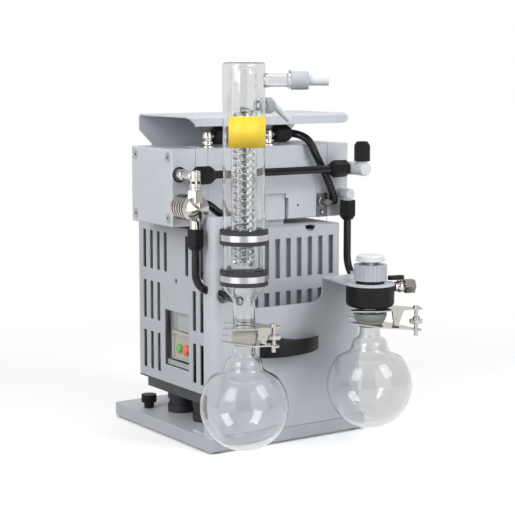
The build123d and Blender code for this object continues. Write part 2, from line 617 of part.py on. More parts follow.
# Diaphragms and the rods that work them
ROD_STEM_RADIUS = 5.0
with BuildPart() as diaphragms:
    for face_x, outward in ((CASE_LEFT, -1), (CASE_RIGHT, 1)):
        seat = (face_x, CASE_MIDDLE_Y, CRANK_Z)
        rod(seat, (outward, 0, 0), DIAPHRAGM_THICK, DIAPHRAGM_RADIUS)
        hole(seat, (outward, 0, 0), DIAPHRAGM_THICK, ROD_STEM_RADIUS + SLIP)
save(diaphragms.part, "diaphragms")

RING_CLEARANCE = CRANK_THROW * 2 ** 0.5 + SLIP
CLAMP_GAP = STROKE + SLIP
CLAMP_THICK = 3.0
with BuildPart() as connecting_rods:
    for face_x, outward, bar_z in ((CASE_LEFT, -1, ROD_LOW), (CASE_RIGHT, 1, ROD_HIGH)):
        inner_x = face_x - outward * (CLAMP_GAP + CLAMP_THICK)
        outer_x = face_x + outward * (DIAPHRAGM_THICK + CLAMP_GAP + CLAMP_THICK)
        with BuildSketch(Plane.XY.offset(bar_z)):
            with Locations(((SHAFT[0] + inner_x) / 2, SHAFT[1])):
                Rectangle(abs(inner_x - SHAFT[0]), 14)
            with Locations(SHAFT):
                Circle(ECCENTRIC_RADIUS + RING_CLEARANCE + 5)
                Circle(ECCENTRIC_RADIUS + RING_CLEARANCE, mode=Mode.SUBTRACT)
        extrude(amount=ROD_THICK)
        rod((inner_x, SHAFT[1], CRANK_Z), (outward, 0, 0), CLAMP_THICK, 18)
        rod((inner_x, SHAFT[1], CRANK_Z), (outward, 0, 0), abs(outer_x - inner_x), ROD_STEM_RADIUS)
        rod((outer_x, SHAFT[1], CRANK_Z), (-outward, 0, 0), CLAMP_THICK, 16)
save(connecting_rods.part, "connecting_rods")

# Carry plate: bent at the front lip and down the back of the heads
CASE_BACK = CASE_FRONT + CASE_DEPTH
CARRY_BACK = CASE_BACK + SHEET
with BuildPart() as carry_plate:
    with BuildSketch(Plane.YZ.offset(CARRY_LEFT)):
        with BuildLine():
            FilletPolyline(
                (CARRY_FRONT, CARRY_TOP - CARRY_LIP),
                (CARRY_FRONT, CARRY_TOP),
                (CARRY_BACK, CARRY_TOP),
                (CARRY_BACK, CARRY_WALL_BOTTOM),
                radius=CARRY_BEND,
            )
            offset(amount=SHEET, side=Side.RIGHT)
        make_face()
    extrude(amount=CARRY_WIDTH)
    CARRY_RIGHT = CARRY_LEFT + CARRY_WIDTH
    with BuildSketch(Plane.XZ.offset(-CARRY_BACK - 1)):
        for side_x, inward in ((CARRY_LEFT, 1), (CARRY_RIGHT, -1)):
            with BuildLine():
                Polyline(
                    (side_x - inward, CASE_TOP + 21),
                    (side_x + 18 * inward, CASE_TOP + 2),
                    (side_x + 18 * inward, CARRY_WALL_BOTTOM - 1),
                    (side_x - inward, CARRY_WALL_BOTTOM - 1),
                    close=True,
                )
            make_face()
    extrude(amount=SHEET * 3, mode=Mode.SUBTRACT)
    with BuildSketch(Plane.XZ.offset(-CARRY_FRONT + 1)):
        for side_x, inward in ((CARRY_LEFT, 1), (CARRY_RIGHT, -1)):
            with Locations((side_x, CARRY_TOP - CARRY_LIP - 1)):
                Rectangle(2 * (CARRY_LIP - 2), 2 * (CARRY_LIP - 2))
    extrude(amount=-SHEET * 2, mode=Mode.SUBTRACT)
    with BuildSketch(Plane.XY.offset(CARRY_TOP - CARRY_LIP - 1)):
        with Locations((CARRY_RIGHT, CARRY_FRONT)):
            Rectangle(16, 16)
        with Locations((CARRY_RIGHT - 8, CARRY_FRONT + 8)):
            Circle(8, mode=Mode.SUBTRACT)
    extrude(amount=CARRY_LIP + 2, mode=Mode.SUBTRACT)
save(carry_plate.part, "carry_plate")


def hose_nut(start, direction):
    """Compression nut: hexagon with a cone at the hose end and a socket for the hose."""
    plane = Plane(origin=start, z_dir=direction)
    with BuildPart() as nut:
        with BuildSketch(plane):
            RegularPolygon(NUT_FLATS / 2, 6, major_radius=False)
        extrude(amount=NUT_LENGTH)
        cone_start = plane.offset(NUT_LENGTH - 6)
        with BuildSketch(cone_start):
            Circle(NUT_FLATS)
            Circle(NUT_FLATS / 2 + 1.5, mode=Mode.SUBTRACT)
        extrude(amount=7, taper=-35, mode=Mode.SUBTRACT)
        with BuildSketch(plane.offset(NUT_LENGTH)):
            Circle(HOSE_RADIUS)
        extrude(amount=-NUT_SOCKET, mode=Mode.SUBTRACT)
    return nut.part


def from_plate(x, y, z):
    """A point measured from the base plate's front left corner."""
    return (PLATE_LEFT + x, PLATE_FRONT + y, z)


def hose(points, radii):
    """A hose of straight runs joined by tangent arcs."""
    with BuildPart() as tube:
        with BuildLine() as route:
            if radii:
                FilletPolyline(*points, radius=radii)
            else:
                Line(*points)
        with BuildSketch(Plane(origin=points[0], z_dir=Vector(*points[1]) - Vector(*points[0]))):
            Circle(HOSE_RADIUS)
        sweep(path=route.line)
    return tube.part


def bent_hose(points, start, end):
    """A hose bent freely through points, leaving and arriving along set directions."""
    with BuildPart() as tube:
        first = Vector(*points[0]) + Vector(*start) * (NUT_SOCKET + 0.5)
        last = Vector(*points[-1]) - Vector(*end) * 4
        with BuildLine() as route:
            Line(points[0], first)
            Spline(first, *points[1:-1], last, tangents=(start, end), tangent_scalars=(0.5, 0.5))
            Line(last, points[-1])
        with BuildSketch(Plane(origin=points[0], z_dir=start)):
            Circle(HOSE_RADIUS)
        sweep(path=route.line)
    return tube.part


# Nuts in the order: upper line left, upper line right, valve, right elbow, top left, top right
LINE_LEFT_X = LEFT_PORT_X + 7.5
LINE_RIGHT_X = RIGHT_PORT_X - 10.0
VALVE_NUT_Z = 273.5
RIGHT_NUT_Z = HEAD_PORT_LOWER - 5.0
RIGHT_ELBOW_Y = PLATE_FRONT + 42.0
ELBOW_ONE_X = PLATE_LEFT + 42.5
ELBOW_TWO_X = CASE_RIGHT - 84.0
TEE_BRANCH_Y = PLATE_FRONT + 12.5
nut_spots = (
    ((LINE_LEFT_X, LINE_Y, HEAD_PORT_UPPER), (1, 0, 0)),
    ((LINE_RIGHT_X, LINE_Y, HEAD_PORT_UPPER), (-1, 0, 0)),
    ((VALVE_X, VALVE_Y, VALVE_NUT_Z), (0, 0, -1)),
    ((RIGHT_PORT_X, RIGHT_ELBOW_Y, RIGHT_NUT_Z), (0, 0, -1)),
    ((ELBOW_ONE_X + 8, TOP_LINE_Y, TOP_LINE_Z), (1, 0, 0)),
    ((ELBOW_TWO_X + 8, TOP_LINE_Y, TOP_LINE_Z), (1, 0, 0)),
    ((RIGHT_PORT_X, TEE_BRANCH_Y, HEAD_PORT_UPPER + 10), (0, 0, 1)),
)
hose_nuts = Compound(children=[hose_nut(*spot) for spot in nut_spots])
save(hose_nuts, "hose_nuts")

# Fittings of nickelled brass: two on the crankcase's top, and those at the hoses' ends
PLATE_ELBOW = (CASE_RIGHT - 9.0, PLATE_FRONT + 53.0, 292.5)
SIDE_STUB_Z = 188.0
SIDE_STUB_ANGLE = 31.5
SIDE_STUB = radial(SEPARATOR, SIDE_STUB_ANGLE, 39.8, SIDE_STUB_Z)


def elbow_solid(foot, foot_direction, body_length, body_radius, exits):
    """A round body on a flange ring, with short necks towards its nuts or hoses."""
    with BuildPart() as elbow:
        rod(foot, foot_direction, body_length, body_radius)
        rod(foot, foot_direction, 2, body_radius + 2)
        for start, direction, length in exits:
            rod(start, direction, length, body_radius - 1)
    return elbow.part


top_one = elbow_solid(
    (ELBOW_ONE_X, TOP_LINE_Y, CASE_TOP),
    (0, 0, 1),
    TOP_LINE_Z - CASE_TOP + 7,
    6.5,
    [((ELBOW_ONE_X, TOP_LINE_Y, TOP_LINE_Z), (1, 0, 0), 8)],
)
top_two = elbow_solid(
    (ELBOW_TWO_X, TOP_LINE_Y, CASE_TOP),
    (0, 0, 1),
    TOP_LINE_Z - CASE_TOP + 7,
    6.5,
    [((ELBOW_TWO_X - 10, TOP_LINE_Y, TOP_LINE_Z), (1, 0, 0), 18)],
)
line_left = elbow_solid(
    (LEFT_PORT_X, CASE_FRONT, HEAD_PORT_UPPER),
    (0, -1, 0),
    CASE_FRONT - LINE_Y + 5.3,
    6.5,
    [((LEFT_PORT_X, LINE_Y, HEAD_PORT_UPPER), (1, 0, 0), LINE_LEFT_X - LEFT_PORT_X)],
)
at_plate = elbow_solid(
    (PLATE_ELBOW[0], CASE_FRONT - 1.5, PLATE_ELBOW[2]),
    (0, -1, 0),
    12,
    5,
    [((PLATE_ELBOW[0], PLATE_FRONT + 51.5, PLATE_ELBOW[2]), (1, 0, 0), 9)],
)
nickel_elbows = Compound(children=[top_one, top_two, line_left, at_plate])
save(nickel_elbows, "nickel_elbows")

with BuildPart() as elbow_plate:
    with BuildSketch(Plane.XZ.offset(-CASE_FRONT)):
        with Locations((PLATE_ELBOW[0], 288.0)):
            RectangleRounded(16, 31, 1.5)
    extrude(amount=1.5)
    with BuildSketch(Plane.XZ.offset(-CASE_FRONT + 1.5)):
        with Locations((PLATE_ELBOW[0], 279.0)):
            Circle(3.2)
            RegularPolygon(1.5, 6, mode=Mode.SUBTRACT)
    extrude(amount=2)
save(elbow_plate.part, "elbow_plate")

with BuildPart() as outlet_tee:
    rod((RIGHT_PORT_X, CASE_FRONT, HEAD_PORT_UPPER), (0, -1, 0), CASE_FRONT - TEE_BRANCH_Y + 9, 8.5)
    fillet(outlet_tee.faces().sort_by(Axis.Y)[0].edges(), 1.5)
    rod((RIGHT_PORT_X, LINE_Y, HEAD_PORT_UPPER), (-1, 0, 0), RIGHT_PORT_X - LINE_RIGHT_X, 6.5)
    rod((RIGHT_PORT_X, TEE_BRANCH_Y, HEAD_PORT_UPPER), (0, 0, 1), 10, 7)
save(outlet_tee.part, "outlet_tee")

with BuildPart() as right_elbow:
    rod((RIGHT_PORT_X, CASE_FRONT, HEAD_PORT_LOWER + 3), (0, -1, 0), CASE_FRONT - RIGHT_ELBOW_Y + 7, 7)
    fillet(right_elbow.faces().sort_by(Axis.Y)[0].edges(), 1.5)
    rod((RIGHT_PORT_X, RIGHT_ELBOW_Y, HEAD_PORT_LOWER), (0, 0, -1), 5, 6)
save(right_elbow.part, "right_elbow")

# Hoses between the fittings
SOCKET_END = NUT_LENGTH - NUT_SOCKET
save(
    hose(
        [
            (LINE_LEFT_X + SOCKET_END, LINE_Y, HEAD_PORT_UPPER),
            (LINE_RIGHT_X - SOCKET_END, LINE_Y, HEAD_PORT_UPPER),
        ],
        None,
    ),
    "cross_hose",
)
save(
    hose(
        [
            (ELBOW_ONE_X + 8 + SOCKET_END, TOP_LINE_Y, TOP_LINE_Z),
            (ELBOW_TWO_X - 10, TOP_LINE_Y, TOP_LINE_Z),
        ],
        None,
    ),
    "link_hose",
)
bypass_points = [
    (ELBOW_TWO_X + 8 + SOCKET_END, TOP_LINE_Y, TOP_LINE_Z),
    (CASE_RIGHT - 36.5, CASE_FRONT - 1, TOP_LINE_Z - 5.5),
    (CASE_RIGHT - 28, CASE_FRONT - 9.5, CRANK_Z + 39),
    (CASE_RIGHT - 16, CASE_FRONT - 10, CRANK_Z + 18),
    (CASE_RIGHT - 4.5, CASE_FRONT - 10, CRANK_Z - 3),
    (CASE_RIGHT + 1.5, CASE_FRONT - 10, CRANK_Z - 17),
    (PLATE_ELBOW[0] + 9, PLATE_FRONT + 51.5, PLATE_ELBOW[2]),
]
save(bent_hose(bypass_points, (1, 0, 0), (-1, 0, 0)), "bypass_hose")
separator_points = [
    (RIGHT_PORT_X, RIGHT_ELBOW_Y, RIGHT_NUT_Z - SOCKET_END),
    (RIGHT_PORT_X, RIGHT_ELBOW_Y, SIDE_STUB_Z),
    (RIGHT_PORT_X, SIDE_STUB[1] + (RIGHT_PORT_X - SIDE_STUB[0]) * tan(radians(SIDE_STUB_ANGLE)), SIDE_STUB_Z),
    SIDE_STUB,
]
save(hose(separator_points, [35, 28]), "separator_hose")
CONDENSER_INLET_Z = HOSE_HOLE[1]
CONDENSER_INLET_REACH = 22.0
INLET_HEADING = Vector(HOSE_HOLE[0] - CONDENSER[0], PANEL_FRONT - CONDENSER[1], 0).normalized()
hole_middle = Vector(HOSE_HOLE[0], PANEL_FRONT, CONDENSER_INLET_Z)
valve_points = [
    (VALVE_X, VALVE_Y, VALVE_NUT_Z - SOCKET_END),
    (VALVE_X, VALVE_Y, NOTCH_Z + 4.0),
    tuple(hole_middle + INLET_HEADING * 18),
    tuple(Vector(*CONDENSER, CONDENSER_INLET_Z) + INLET_HEADING * CONDENSER_INLET_REACH),
]
save(hose(valve_points, [22, 12]), "valve_hose")
branch_points = [
    (VALVE_X + 20, PLATE_FRONT + 40, 300.0),
    from_plate(40.0, 36.0, 287.0),
    from_plate(62.0, 42.0, 284.0),
    from_plate(70.0, 60.0, 284.0),
]
save(bent_hose(branch_points, (1, 0, 0), (0, 1, 0)), "branch_hose")

# Vent valve on the left head: a grooved body, a hexagon and a drilled cap that turns
VALVE_BODY_RADIUS = 15.5
VALVE_BODY_FRONT = PLATE_FRONT + 11.0
VALVE_BODY_BACK = PLATE_FRONT + 54.0
VALVE_CAP_Z = 321.0
VALVE_Z = 298.0
VALVE_CONE = 4.0
with BuildPart() as valve_body:
    drum_length = VALVE_BODY_BACK - VALVE_BODY_FRONT - VALVE_CONE
    rod((VALVE_X, VALVE_BODY_BACK, VALVE_Z), (0, -1, 0), drum_length, VALVE_BODY_RADIUS)
    with Locations(Plane(origin=(VALVE_X, VALVE_BODY_FRONT + VALVE_CONE, VALVE_Z), z_dir=(0, -1, 0))):
        Cone(VALVE_BODY_RADIUS, 2, VALVE_CONE, align=(Align.CENTER, Align.CENTER, Align.MIN))
    for groove in range(5):
        groove_plane = Plane(
            origin=(VALVE_X, VALVE_BODY_BACK - 4 - 5.5 * groove, VALVE_Z), z_dir=(0, -1, 0)
        )
        with BuildSketch(groove_plane):
            Circle(VALVE_BODY_RADIUS + 1)
            Circle(VALVE_BODY_RADIUS - 1.2, mode=Mode.SUBTRACT)
        extrude(amount=2.5, mode=Mode.SUBTRACT)
    rod((VALVE_X, CASE_FRONT, VALVE_Z), (0, -1, 0), CASE_FRONT - VALVE_BODY_BACK, 7)
    rod((VALVE_X, VALVE_Y, VALVE_NUT_Z), (0, 0, 1), VALVE_Z - VALVE_NUT_Z, 6.5)
    with BuildSketch(Plane(origin=(VALVE_X, VALVE_Y, VALVE_Z))):
        RegularPolygon(8.5, 6, major_radius=False)
    extrude(amount=VALVE_CAP_Z - 1 - VALVE_Z)
    rod((VALVE_X, VALVE_Y, VALVE_Z), (0, 0, 1), VALVE_CAP_Z - VALVE_Z + 14, 4)
    rod((VALVE_X + 8, PLATE_FRONT + 40, VALVE_Z + 2), (1, 0, 0), 12, 5)
save(valve_body.part, "valve_body")

VALVE_CAP_RADIUS = 6.8
with BuildPart() as valve_cap:
    rod((VALVE_X, VALVE_Y, VALVE_CAP_Z - 1 + SLIP), (0, 0, 1), 23, VALVE_CAP_RADIUS)
    chamfer(valve_cap.faces().sort_by(Axis.Z)[-1].edges(), 0.8)
    hole((VALVE_X, VALVE_Y, VALVE_CAP_Z - 2), (0, 0, 1), 18, 4 + RUNNING)
    for vent in range(6):
        hole((VALVE_X, VALVE_Y, VALVE_CAP_Z + 9), heading(60 * vent + 20), VALVE_CAP_RADIUS + 1, 0.9)
save(valve_cap.part, "valve_cap")

# Condenser: jacket, inner tube, coil
FLASK_Z_LEFT = LEFT_JOINT_Z - JOINT_TO_FLASK
with BuildPart() as condenser_jacket:
    with BuildSketch(Plane.XZ.offset(-CONDENSER[1])):
        with BuildLine():
            Polyline(
                (CONDENSER[0], LEFT_JOINT_Z - 1),
                (CONDENSER[0] + LEFT_JOINT_RADIUS, LEFT_JOINT_Z - 1),
                (CONDENSER[0] + LEFT_JOINT_RADIUS, LEFT_JOINT_Z + JOINT_HALF - 2),
                (CONDENSER[0] + NECK_RADIUS, LEFT_JOINT_Z + JOINT_HALF),
                (CONDENSER[0] + NECK_RADIUS, JACKET_BOTTOM - TAPER_HEIGHT),
                (CONDENSER[0] + JACKET_RADIUS, JACKET_BOTTOM),
                (CONDENSER[0] + JACKET_RADIUS, JACKET_TOP - 3),
                (CONDENSER[0] + JACKET_RADIUS - 3, JACKET_TOP),
                (CONDENSER[0], JACKET_TOP),
                close=True,
            )
        make_face()
    revolve(axis=Axis((*CONDENSER, 0), (0, 0, 1)))
    rod((*CONDENSER, SIDE_TUBE_Z), heading(OUTWARD), SIDE_TUBE_REACH, SIDE_TUBE_RADIUS)
    rod(radial(CONDENSER, OUTWARD, SIDE_TUBE_REACH - 3, SIDE_TUBE_Z), heading(OUTWARD), 3, 12.2)
    rod((*CONDENSER, LOWER_TUBE_Z), heading(LOWER_TUBE_ANGLE), LOWER_TUBE_REACH, 5)
    rod((*CONDENSER, CONDENSER_INLET_Z), INLET_HEADING, CONDENSER_INLET_REACH, HOSE_RADIUS)
    with BuildSketch(Plane.XZ.offset(-CONDENSER[1])):
        with BuildLine():
            Polyline(
                (CONDENSER[0], LEFT_JOINT_Z - 2),
                (CONDENSER[0] + NECK_RADIUS - GLASS, LEFT_JOINT_Z - 2),
                (CONDENSER[0] + NECK_RADIUS - GLASS, JACKET_BOTTOM - TAPER_HEIGHT),
                (CONDENSER[0] + JACKET_RADIUS - GLASS, JACKET_BOTTOM),
                (CONDENSER[0] + JACKET_RADIUS - GLASS, JACKET_TOP - 4),
                (CONDENSER[0], JACKET_TOP - 4),
                close=True,
            )
        make_face()
    revolve(axis=Axis((*CONDENSER, 0), (0, 0, 1)), mode=Mode.SUBTRACT)
    hole((*CONDENSER, SIDE_TUBE_Z), heading(OUTWARD), SIDE_TUBE_REACH + 1, SIDE_TUBE_RADIUS - GLASS)
    hole((*CONDENSER, LOWER_TUBE_Z), heading(LOWER_TUBE_ANGLE), LOWER_TUBE_REACH + 1, 3.2)
    hole((*CONDENSER, CONDENSER_INLET_Z), INLET_HEADING, CONDENSER_INLET_REACH + 1, HOSE_RADIUS - GLASS)
save(condenser_jacket.part, "condenser_jacket")

CORE_BOTTOM = JACKET_BOTTOM - TAPER_HEIGHT + TAPER_HEIGHT * (
    (CORE_RADIUS - NECK_RADIUS + GLASS) / (JACKET_RADIUS - NECK_RADIUS)
)
with BuildPart() as condenser_core:
    with BuildSketch(Plane(origin=(*CONDENSER, CORE_BOTTOM))):
        Circle(CORE_RADIUS)
        Circle(CORE_RADIUS - CORE_WALL, mode=Mode.SUBTRACT)
    extrude(amount=CORE_TOP - CORE_BOTTOM)
save(condenser_core.part, "condenser_core")

COIL_RADIUS = CORE_RADIUS - CORE_WALL - SLIP
COIL_DEPTH = 4.0
COIL_TUBE = 5.0
with BuildPart() as condenser_coil:
    with BuildSketch(Plane.XZ.offset(-CONDENSER[1])):
        outline = []
        for turn in range(COIL_TURNS):
            level = COIL_BOTTOM + turn * COIL_PITCH
            outline.append((CONDENSER[0] + COIL_RADIUS - COIL_DEPTH, level))
            outline.append((CONDENSER[0] + COIL_RADIUS, level + COIL_PITCH / 2))
        outline.append((CONDENSER[0] + COIL_RADIUS - COIL_DEPTH, COIL_BOTTOM + COIL_TURNS * COIL_PITCH))
        outline.append((CONDENSER[0] + COIL_TUBE, COIL_BOTTOM + COIL_TURNS * COIL_PITCH))
        outline.append((CONDENSER[0] + COIL_TUBE, COIL_BOTTOM))
        with BuildLine():
            Polyline(*outline, close=True)
        make_face()
    revolve(axis=Axis((*CONDENSER, 0), (0, 0, 1)))
save(condenser_coil.part, "condenser_coil")

# Rings that clamp the jacket, their steel bands and the brackets to the panel
with BuildPart() as condenser_rings:
    for ring_z in RING_CENTRES:
        with BuildSketch(Plane(origin=(*CONDENSER, ring_z - RING_HEIGHT / 2))):
            Circle(RING_RADIUS)
            Circle(JACKET_RADIUS, mode=Mode.SUBTRACT)
        extrude(amount=RING_HEIGHT)
        with BuildSketch(Plane(origin=(*CONDENSER, ring_z - BAND_HEIGHT / 2))):
            Circle(RING_RADIUS + 1)
            Circle(RING_RADIUS - BAND_THICK, mode=Mode.SUBTRACT)
        extrude(amount=BAND_HEIGHT, mode=Mode.SUBTRACT)
save(condenser_rings.part, "condenser_rings")

with BuildPart() as ring_bands:
    for ring_z in RING_CENTRES:
        with BuildSketch(Plane(origin=(*CONDENSER, ring_z - BAND_HEIGHT / 2))):
            Circle(RING_RADIUS)
            Circle(RING_RADIUS - BAND_THICK, mode=Mode.SUBTRACT)
        extrude(amount=BAND_HEIGHT)
save(ring_bands.part, "ring_bands")

with BuildPart() as ring_brackets:
    for ring_z in RING_CENTRES:
        with BuildSketch(Plane(origin=(0, 0, ring_z - RING_HEIGHT / 2 + 2))):
            with BuildLine():
                Polyline(
                    (CONDENSER[0] - 2, CONDENSER[1] + 12),
                    (PANEL_LEFT + PANEL_BEND + 1, PANEL_FRONT),
                    (PANEL_LEFT + PANEL_BEND + 1 + BRACKET_WIDTH, PANEL_FRONT),
                    (CONDENSER[0] + 12, CONDENSER[1] + 12),
                    close=True,
                )
            make_face()
            with Locations(CONDENSER):
                Circle(RING_RADIUS, mode=Mode.SUBTRACT)
        extrude(amount=RING_HEIGHT - 4)
save(ring_brackets.part, "ring_brackets")

# Screw caps and nozzles of the condenser
LOWER_NOZZLE_DOWN = (cos(radians(LOWER_TUBE_ANGLE)), sin(radians(LOWER_TUBE_ANGLE)), -0.7)
with BuildPart() as condenser_caps:
    rod(
        radial(CONDENSER, OUTWARD, SIDE_TUBE_REACH, SIDE_TUBE_Z),
        heading(OUTWARD),
        SIDE_CAP_LENGTH,
        SIDE_CAP_RADIUS,
    )
    rod(
        radial(CONDENSER, LOWER_TUBE_ANGLE, LOWER_TUBE_REACH, LOWER_TUBE_Z),
        heading(LOWER_TUBE_ANGLE),
        LOWER_CAP_LENGTH,
        LOWER_CAP_RADIUS,
    )
    chamfer(condenser_caps.edges().filter_by(GeomType.CIRCLE), 0.8)
save(condenser_caps.part, "condenser_caps")

OUTLET_START = SIDE_TUBE_REACH + SIDE_CAP_LENGTH
with BuildPart() as condenser_nozzles:
    rod(
        radial(CONDENSER, OUTWARD, OUTLET_START, SIDE_TUBE_Z), heading(OUTWARD), OUTLET_LENGTH, OUTLET_RADIUS
    )
    hole(
        radial(CONDENSER, OUTWARD, OUTLET_START + 2, SIDE_TUBE_Z), heading(OUTWARD), OUTLET_LENGTH, 3.5
    )
    nipple_start = radial(CONDENSER, LOWER_TUBE_ANGLE, LOWER_TUBE_REACH + LOWER_CAP_LENGTH, LOWER_TUBE_Z)
    rod(nipple_start, heading(LOWER_TUBE_ANGLE), 5, HOSE_NIPPLE_RADIUS)
    nipple_bend = radial(CONDENSER, LOWER_TUBE_ANGLE, LOWER_TUBE_REACH + LOWER_CAP_LENGTH + 5, LOWER_TUBE_Z)
    with Locations(nipple_bend):
        Sphere(HOSE_NIPPLE_RADIUS + 0.6)
    rod(nipple_bend, LOWER_NOZZLE_DOWN, HOSE_NIPPLE_LENGTH, HOSE_NIPPLE_RADIUS)
save(condenser_nozzles.part, "condenser_nozzles")


def flask(centre, joint_z, joint_radius):
    """Round-bottomed glass flask with a ball flange on its neck."""
    middle = (*centre, joint_z - JOINT_TO_FLASK)
    with BuildPart() as glass:
        with Locations(middle):
            Sphere(FLASK_RADIUS)
        rod(middle, (0, 0, 1), JOINT_TO_FLASK - 1, NECK_RADIUS)
        circles = glass.edges().filter_by(lambda e: e.geom_type == GeomType.CIRCLE)
        neck_circles = circles.filter_by(lambda e: abs(e.radius - NECK_RADIUS) < 0.1)
        fillet(neck_circles.sort_by(Axis.Z)[0], 7)
        rod((*centre, joint_z - JOINT_HALF), (0, 0, 1), JOINT_HALF - 1, joint_radius)
        with Locations(middle):
            Sphere(FLASK_RADIUS - GLASS, mode=Mode.SUBTRACT)
        hole(middle, (0, 0, 1), JOINT_TO_FLASK, NECK_RADIUS - GLASS)
    return glass.part


save(flask(CONDENSER, LEFT_JOINT_Z, LEFT_JOINT_RADIUS), "left_flask")
save(flask(SEPARATOR, RIGHT_JOINT_Z, RIGHT_JOINT_RADIUS), "right_flask")

# Fork clamps: a fixed fork over the joint, a jaw under it, a stud and a knurled nut
FORK_THICK = 1.5
FORK_SLIT = NECK_RADIUS + 1.2
JAW_TILT = 8.0
PIVOT_DROP = 5.0
PIVOT_RADIUS = 1.5
EAR_SPAN = 9.0
STUD_RADIUS = 2.5
NUT_RADIUS = 8.2
NUT_HEIGHT = 6.0
CLAMP_STYLES = {
    "left": (CONDENSER, LEFT_JOINT_Z, 24.0, 22.5, 34.5, 42.0),
    "right": (SEPARATOR, RIGHT_JOINT_Z, 26.0, 32.0, 56.6, 64.0),
}


def fork_outline(prongs, reach, half_width):
    """Flat fork: rounded prongs round the neck, tapering to a tongue at the stud."""
    with BuildSketch() as outline:
        with BuildLine():
            FilletPolyline(
                (-prongs, -half_width),
                (12, -half_width),
                (reach - 14, -7),
                (reach, -7),
                (reach, 7),
                (reach - 14, 7),
                (12, half_width),
                (-prongs, half_width),
                radius=(4, 4, 5, 5, 4, 4),
            )
            Line((-prongs, half_width), (-prongs, -half_width))
        make_face()
        Circle(FORK_SLIT, mode=Mode.SUBTRACT)
        with Locations((-prongs, 0)):
            Rectangle(2 * prongs, 2 * FORK_SLIT, mode=Mode.SUBTRACT)
    return outline.sketch


def clamp_planes(side):
    """Planes of the fork's underside and of the jaw's upper face, and the pivot's point."""
    centre, joint_z, half_width, pivot, stud, reach = CLAMP_STYLES[side]
    out = heading(OUTWARD)
    upper = Plane(origin=(*centre, joint_z + JOINT_HALF), x_dir=out, z_dir=(0, 0, 1))
    fall = tan(radians(JAW_TILT))
    jaw_z = joint_z - JOINT_HALF - 0.5 - 22 * fall
    slope = (out[0] * cos(radians(JAW_TILT)), out[1] * cos(radians(JAW_TILT)), -sin(radians(JAW_TILT)))
    normal = (out[0] * sin(radians(JAW_TILT)), out[1] * sin(radians(JAW_TILT)), cos(radians(JAW_TILT)))
    lower = Plane(origin=(*centre, jaw_z), x_dir=slope, z_dir=normal)
    pivot_point = radial(centre, OUTWARD, pivot, joint_z - PIVOT_DROP)
    return upper, lower, pivot_point


def clamp_fork(side):
    """Upper fork with two ears down to the pivot pin."""
    centre, joint_z, half_width, pivot, stud, reach = CLAMP_STYLES[side]
    upper, lower, pivot_point = clamp_planes(side)
    across = heading(OUTWARD + 90)
    with BuildPart() as fork:
        with BuildSketch(upper):
            add(fork_outline(24, reach, half_width))
        extrude(amount=FORK_THICK)
        for ear in (-1, 1):
            ear_plane = Plane(
                origin=(
                    centre[0] + ear * EAR_SPAN * across[0],
                    centre[1] + ear * EAR_SPAN * across[1],
                    joint_z + JOINT_HALF,
                ),
                x_dir=heading(OUTWARD),
                z_dir=(-across[0], -across[1], 0),
            )
            with BuildSketch(ear_plane):
                with BuildLine():
                    Polyline(
                        (pivot - 5, 0.5),
                        (pivot + 9, 0.5),
                        (pivot + 3.5, -JOINT_HALF - PIVOT_DROP - 3.5),
                        (pivot - 3.5, -JOINT_HALF - PIVOT_DROP - 3.5),
                        close=True,
                    )
                make_face()
            extrude(amount=FORK_THICK / 2, both=True)
        pin_start = [pivot_point[i] - (EAR_SPAN + 2) * across[i] for i in range(2)]
        rod((*pin_start, pivot_point[2]), across, 2 * (EAR_SPAN + 2), PIVOT_RADIUS)
        hole(radial(centre, OUTWARD, stud, joint_z), (0, 0, 1), 20, STUD_RADIUS)
    return fork.part


def clamp_jaw(side):
    """Lower jaw, hinged on the pin, with a slot that lets the stud pass."""
    centre, joint_z, half_width, pivot, stud, reach = CLAMP_STYLES[side]
    upper, lower, pivot_point = clamp_planes(side)
    across = heading(OUTWARD + 90)
    lug = EAR_SPAN - FORK_THICK / 2 - SLIP
    with BuildPart() as jaw:
        with BuildSketch(lower):
            add(fork_outline(26, reach, half_width))
        extrude(amount=-FORK_THICK)
        for ear in (-1, 1):
            offset_across = ear * (lug - FORK_THICK / 2)
            lug_plane = Plane(
                origin=(
                    centre[0] + offset_across * across[0],
                    centre[1] + offset_across * across[1],
                    pivot_point[2],
                ),
                x_dir=heading(OUTWARD),
                z_dir=(-across[0], -across[1], 0),
            )
            drop = pivot_point[2] - lower.origin.Z + pivot * tan(radians(JAW_TILT)) + 0.7
            with BuildSketch(lug_plane):
                with Locations((pivot, 0)):
                    Circle(3.2)
                with Locations((pivot, -drop / 2)):
                    Rectangle(6.4, drop)
                with Locations((pivot, 0)):
                    Circle(PIVOT_RADIUS + RUNNING, mode=Mode.SUBTRACT)
            extrude(amount=FORK_THICK / 2, both=True)
        with BuildSketch(lower):
            with Locations((stud / cos(radians(JAW_TILT)) + 1, 0)):
                SlotOverall(11, 2 * STUD_RADIUS + 1.5)
        extrude(amount=-FORK_THICK * 2, mode=Mode.SUBTRACT)
    return jaw.part


def nut_level(side):
    centre, joint_z, half_width, pivot, stud, reach = CLAMP_STYLES[side]
    upper, lower, pivot_point = clamp_planes(side)
    return lower.origin.Z - stud * tan(radians(JAW_TILT)) + 6.5


def clamp_nut(side):
    """Knurled nut, turning on its stud."""
    centre, joint_z, half_width, pivot, stud, reach = CLAMP_STYLES[side]
    with BuildPart() as nut:
        with BuildSketch(Plane(origin=radial(centre, OUTWARD, stud, nut_level(side)))):
            Circle(NUT_RADIUS)
            with PolarLocations(NUT_RADIUS + 0.4, 18):
                Circle(0.9, mode=Mode.SUBTRACT)
            Circle(STUD_RADIUS + RUNNING, mode=Mode.SUBTRACT)
        extrude(amount=NUT_HEIGHT)
    return nut.part


